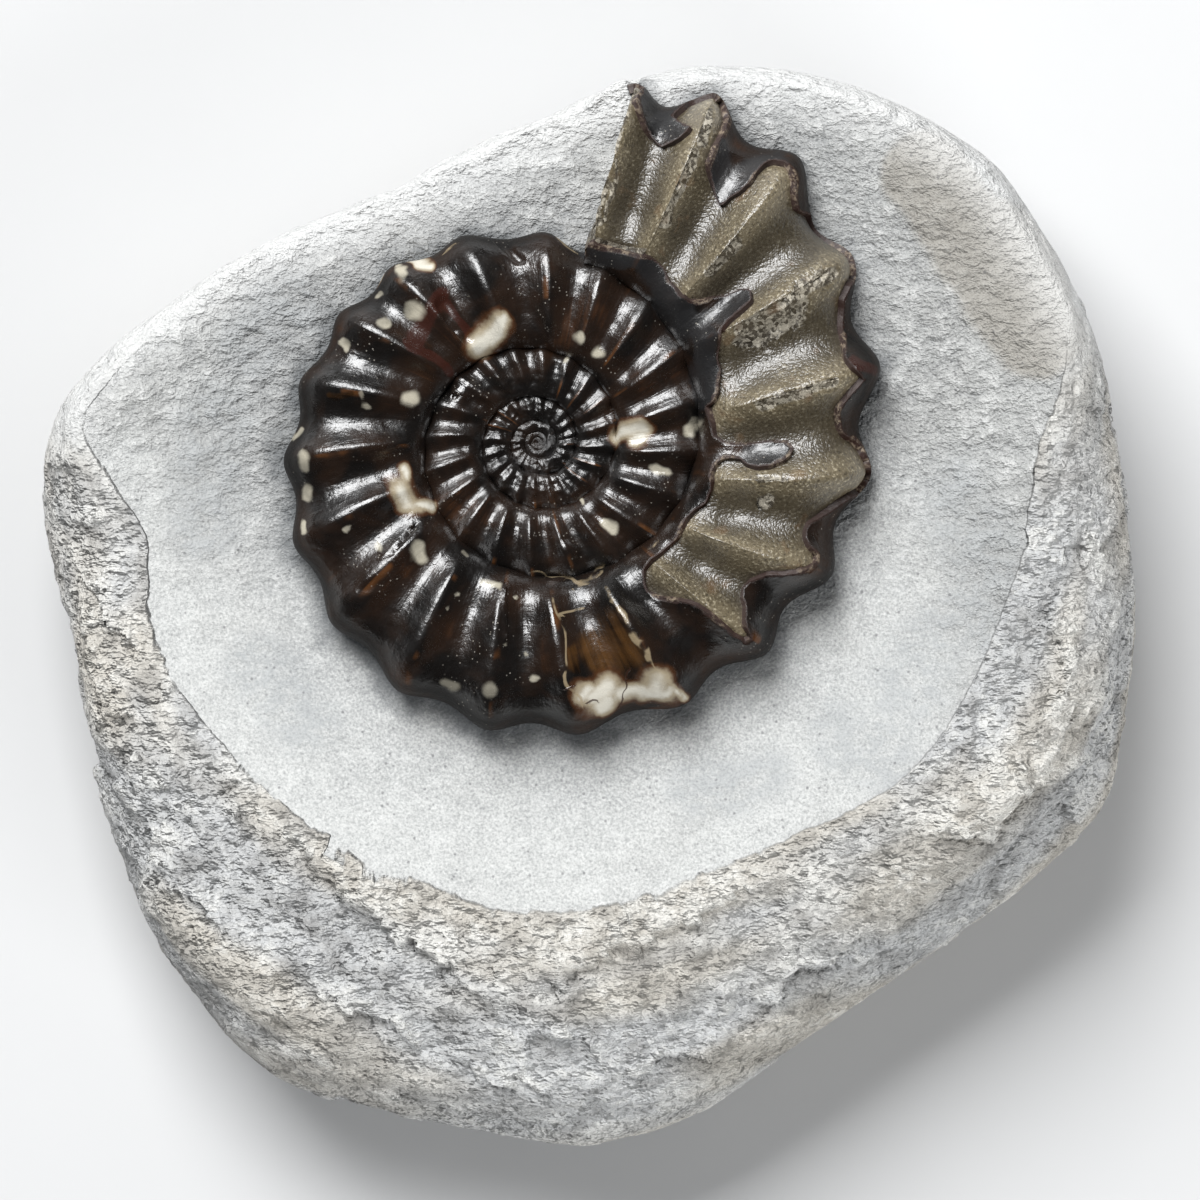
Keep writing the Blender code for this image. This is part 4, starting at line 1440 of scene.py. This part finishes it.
def white_calcite(colour, place, depth, ragged, cracks):
    """Patches with their halo, veins, spots with one painted glint, and the cracks across them."""
    spots_and_glint = stored(place, "dots_and_glint") + ragged * 0.6
    cream = stored(place, "cream") + ragged * 0.9
    veins = line_mask(place, "veins", ragged) * step(noise(place, 1.6, 2.0), 0.38, 0.54)
    return coats(
        colour,
        (step(cream, -0.45, -0.02) * 0.6, HALO),
        (step(cream, -0.12, 0.34) * 0.85, YELLOW_CREAM),
        (step(cream + (depth - 0.5) * 0.9, 0.25, 0.95), WHITE_CREAM),
        (veins * 0.7, VEIN),
        (step(spots_and_glint, -0.1, 0.6) * (0.30 + step(depth, 0.35, 0.6) * 0.5), SPOT_AND_GLINT),
        (cracks * 0.85, CRACK),
    )


# %% [markdown]
# The finish adds the crumbly brown edge of the broken skin and the polish. The polish isn't
# even: smears of a worn lacquer make the highlights patchy. The steep outer side is a second,
# dull shader, because a polished one there would mirror the pale stone and ring the shell in
# grey. In the real fossil dust has dulled that side.

# %% The calcite finish
EDGE_BROWN, EDGE_CREAM = (0.030, 0.011, 0.007), (0.26, 0.20, 0.14)
POLISH_IOR, POLISH_LEVEL = 1.55, 0.85
DULL_ROUGHNESS, DULL_LEVEL, DULL_SHARE = 0.55, 0.10, 0.92


def dulled_sides(place, across, shader, colour, bumped):
    """A mix of the polished shader and a dull one, which takes over on the outer side."""
    sockets = {"Base Color": colour, "Roughness": DULL_ROUGHNESS, "Normal": bumped}
    dull = place.node("BsdfPrincipled", {}, {**sockets, "Specular IOR Level": DULL_LEVEL})
    polished = Wire(place.tree, shader.outputs[0])
    share = step(across, 0.66, 0.86) * DULL_SHARE
    return place.node("MixShader", {}, {0: share, 1: polished, 2: dull})


def calcite_finish(slot):
    material, place, shader = start_finish(slot)
    ribs, across, edge = (stored(place, name) for name in ("ribs", "across", "edge"))
    striae = growth_lines(place, ribs, across)
    depth = noise(place, 6.0, 3.0, 0.6, 0.3)
    ragged = (noise(place, 0.8, 3.0, 0.6) - 0.5) * 0.5
    venter = step(across, 0.86, 0.97)
    slate = step(stored(place, "slate") + ragged, -0.1, 0.3)
    cracks = line_mask(place, "cracks", ragged)
    colour = dark_calcite(place, ribs, across, striae, depth, ragged, venter, slate)
    colour = white_calcite(colour, place, depth, ragged, cracks)

    crumble = noise(place, 0.55, 3.0, 0.7)
    crumbly = step(noise(place, 5.0, 1.0), 0.50, 0.60)
    worn_to = edge + (crumble - 0.5) * 0.4
    at_edge = 1.0 - step(worn_to, 0.06 + crumbly * 0.10, 0.20 + crumbly * 0.24)
    edge_tone = blend(step(crumble, 0.46, 0.64) * crumbly, EDGE_BROWN, EDGE_CREAM)
    colour = blend(at_edge * 0.9, colour, edge_tone)
    connect(colour, shader, "Base Color")

    rough = 0.12 + noise(place, 1.8, 4.0, 0.65) * 0.34 + at_edge * 0.35 + venter * 0.10
    connect(rough + (striae - 0.5) * 0.05 + slate * 0.06, shader, "Roughness")
    shader.inputs["IOR"].default_value = POLISH_IOR
    shader.inputs["Specular IOR Level"].default_value = POLISH_LEVEL
    height = striae * 0.40 + noise(place, 1.7, 4.0, 0.66) * 1.10 - cracks * 0.4
    bumped = bump(height + at_edge * crumble * 0.8, 0.55, 0.24)
    connect(bumped, shader, "Normal")
    sides = dulled_sides(place, across, shader, colour, bumped)
    connect(sides, material.node_tree.nodes["Material Output"], "Surface")
    return material


# %% [markdown]
# ## Set mud
#
# The mould is mud that set as hard as stone. It is khaki, with grains of light and dark, and
# shines softly like fine gold sandpaper. Between its ribs it is darkened with painted shade, and
# its crusts are dark with pale chips. The sheen could be metal, but then the grains would lose
# their colour: a plain surface with a high index of refraction keeps both.

# %% The sediment finish
DARK_KHAKI, LIGHT_KHAKI = (0.108, 0.086, 0.050), (0.182, 0.148, 0.092)
PALE_SAND, DARK_SAND, FURROW_SHADE = (0.50, 0.44, 0.31), (0.025, 0.020, 0.012), (0.024, 0.018, 0.010)
DARK_CRUST, PALE_CRUST = (0.045, 0.036, 0.026), (0.46, 0.42, 0.34)
RUST, SKIN_TRACE_AND_SHADE = (0.16, 0.085, 0.035), (0.045, 0.024, 0.015)
SHEEN_IOR, SHEEN_LEVEL = 1.65, 0.85


def sediment_finish(slot):
    material, place, shader = start_finish(slot)
    fine = noise(place, 0.30, 1.0, 0.70)
    broad = noise(place, 5.0, 3.0, 0.5)
    chip, chip_tone = chips(place, 0.42)
    crusted = step(stored(place, "crust") + (fine - 0.5) * 0.8, 0.25, 0.75)
    crusty = blend(step(chip_tone + (fine - 0.5) * 1.2, 0.25, 0.80), DARK_CRUST, PALE_CRUST)
    shade_between_ribs = step(stored(place, "hollow") + (broad - 0.5) * 0.9, 0.40, 1.00)
    colour = coats(
        blend(step(broad, 0.3, 0.7), DARK_KHAKI, LIGHT_KHAKI),
        (step(fine, 0.54, 0.74) * 0.6, PALE_SAND),
        ((1.0 - step(fine, 0.26, 0.46)) * 0.65, DARK_SAND),
        # painted shade between the ribs and on the broken end
        (shade_between_ribs * 0.80, FURROW_SHADE),
        (crusted * 0.65, crusty),
        (step(noise(place, 3.0, 3.0), 0.60, 0.72) * 0.35, RUST),
        # a dark trace along the skin's broken edge: thin remains of skin, and painted shade under
        # its edge
        (step(stored(place, "skin"), -0.25, 0.0) * 0.6, SKIN_TRACE_AND_SHADE),
    )
    connect(colour, shader, "Base Color")
    connect(0.33 + fine * 0.14 + crusted * 0.25, shader, "Roughness")
    shader.inputs["IOR"].default_value = SHEEN_IOR
    shader.inputs["Specular IOR Level"].default_value = SHEEN_LEVEL
    height = fine * 0.70 + noise(place, 1.2, 3.0, 0.6) * 0.60 + crusted * chip * 1.6
    connect(bump(height, 0.55, 0.24), shader, "Normal")
    return material


# %% [markdown]
# Each piece now takes its finish and stands in for its solid. Smooth shading suits the shell,
# but broken stone has real edges, so any fold sharper than 52 degrees stays sharp.

# %% Dress the three pieces
SHARP_FOLD = math.radians(52.0)

for piece, node, slot, finish in (
    (nodule, "matrix", "limestone", limestone_finish),
    (ammonite, "shell", "calcite_shell", calcite_finish),
    (mould, "body_chamber_mould", "sediment_mould", sediment_finish),
):
    material = finish(slot)
    piece.data.materials.append(material)
    piece.data.shade_smooth()
    piece.data.set_sharp_from_angle(angle=SHARP_FOLD)
    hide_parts(node)
    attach(piece, "root")
    print(piece.name, "stands for", node, "with", len(material.node_tree.nodes), "nodes")

# %% [markdown]
# ## Floor, lights and camera
#
# The nodule lies on plain pale paper. Its tone varies a little, as an even one looks painted.

# %% The floor
FLOOR_SIZE = 3.0
PAPER_TONES = (0.58, 0.58, 0.58), (0.62, 0.62, 0.62)


def build_floor():
    bpy.ops.mesh.primitive_plane_add(size=FLOOR_SIZE, location=(0.0, 0.0, 0.0))
    floor = bpy.context.object
    floor.name = "studio_floor"
    material, place, shader = start_finish("floor_paper")
    connect(blend(noise(place, 40.0, 3.0), *PAPER_TONES), shader, "Base Color")
    shader.inputs["Roughness"].default_value = 0.95
    floor.data.materials.append(material)
    return floor


print("floor:", build_floor().name, FLOOR_SIZE, "m wide")

# %% [markdown]
# One large soft light stands beyond the top left of the view. It rakes across the ribs, so that
# each crest has a bright and a dark flank. A fill from low at the bottom right opens the
# shadows. It is left out of reflections, which a second window would clutter, and so is the
# even light of the room.

# %% The lights
KEY_PLACE, KEY_SIZE, KEY_POWER = (-0.25, 0.54, 0.72), 0.55, 14.5
FILL_PLACE, FILL_SIZE, FILL_POWER = (0.50, -0.54, 0.30), 0.50, 4.6
AIM = (0.0, 0.01, 0.02)
KEY_COLOUR, FILL_COLOUR = (0.985, 0.993, 1.0), (0.98, 0.99, 1.0)
ROOM_COLOUR, ROOM_LIGHT = (0.94, 0.97, 1.0, 1.0), 0.18


def soft_light(name, place, size, power, colour):
    """A square area light that faces the middle of the object."""
    lamp = bpy.data.lights.new(name, "AREA")
    lamp.shape = "SQUARE"
    lamp.size = size
    lamp.energy = power
    lamp.color = colour
    light = bpy.data.objects.new(name, lamp)
    light.location = place
    toward = Vector(AIM) - Vector(place)
    light.rotation_euler = toward.to_track_quat("-Z", "Y").to_euler()
    bpy.context.scene.collection.objects.link(light)
    return light


soft_light("key_light", KEY_PLACE, KEY_SIZE, KEY_POWER, KEY_COLOUR)
fill_light = soft_light("fill_light", FILL_PLACE, FILL_SIZE, FILL_POWER, FILL_COLOUR)
fill_light.visible_glossy = False
world = bpy.data.worlds.new("studio")
world.use_nodes = True
room = world.node_tree.nodes["Background"]
room.inputs["Color"].default_value = ROOM_COLOUR
room.inputs["Strength"].default_value = ROOM_LIGHT
world.cycles_visibility.glossy = False
bpy.context.scene.world = world
bpy.context.scene.view_settings.view_transform = "Standard"
print("lights: key", KEY_POWER, "W, fill", FILL_POWER, "W")

# %% [markdown]
# The camera looks straight down. It stands a metre away with a long lens, as a view from close
# by would make the raised ammonite look larger against the stone than it is.

# %% The camera
VIEW_WIDTH, VIEW_HEIGHT_Z, VIEW_CENTRE = 114.0, 20.0, (1.05, 0.9)
CAMERA_DISTANCE, SENSOR_WIDTH = 1000.0, 36.0
FARTHEST = 10.0

camera_data = bpy.data.cameras.new("view_from_above")
camera_data.sensor_width = SENSOR_WIDTH
camera_data.lens = SENSOR_WIDTH * CAMERA_DISTANCE / VIEW_WIDTH
camera_data.clip_end = FARTHEST
camera = bpy.data.objects.new("view_from_above", camera_data)
camera.location = Vector((*VIEW_CENTRE, VIEW_HEIGHT_Z + CAMERA_DISTANCE)) * MM
bpy.context.scene.collection.objects.link(camera)
bpy.context.scene.camera = camera
print("lens:", round(camera_data.lens, 1), "mm")
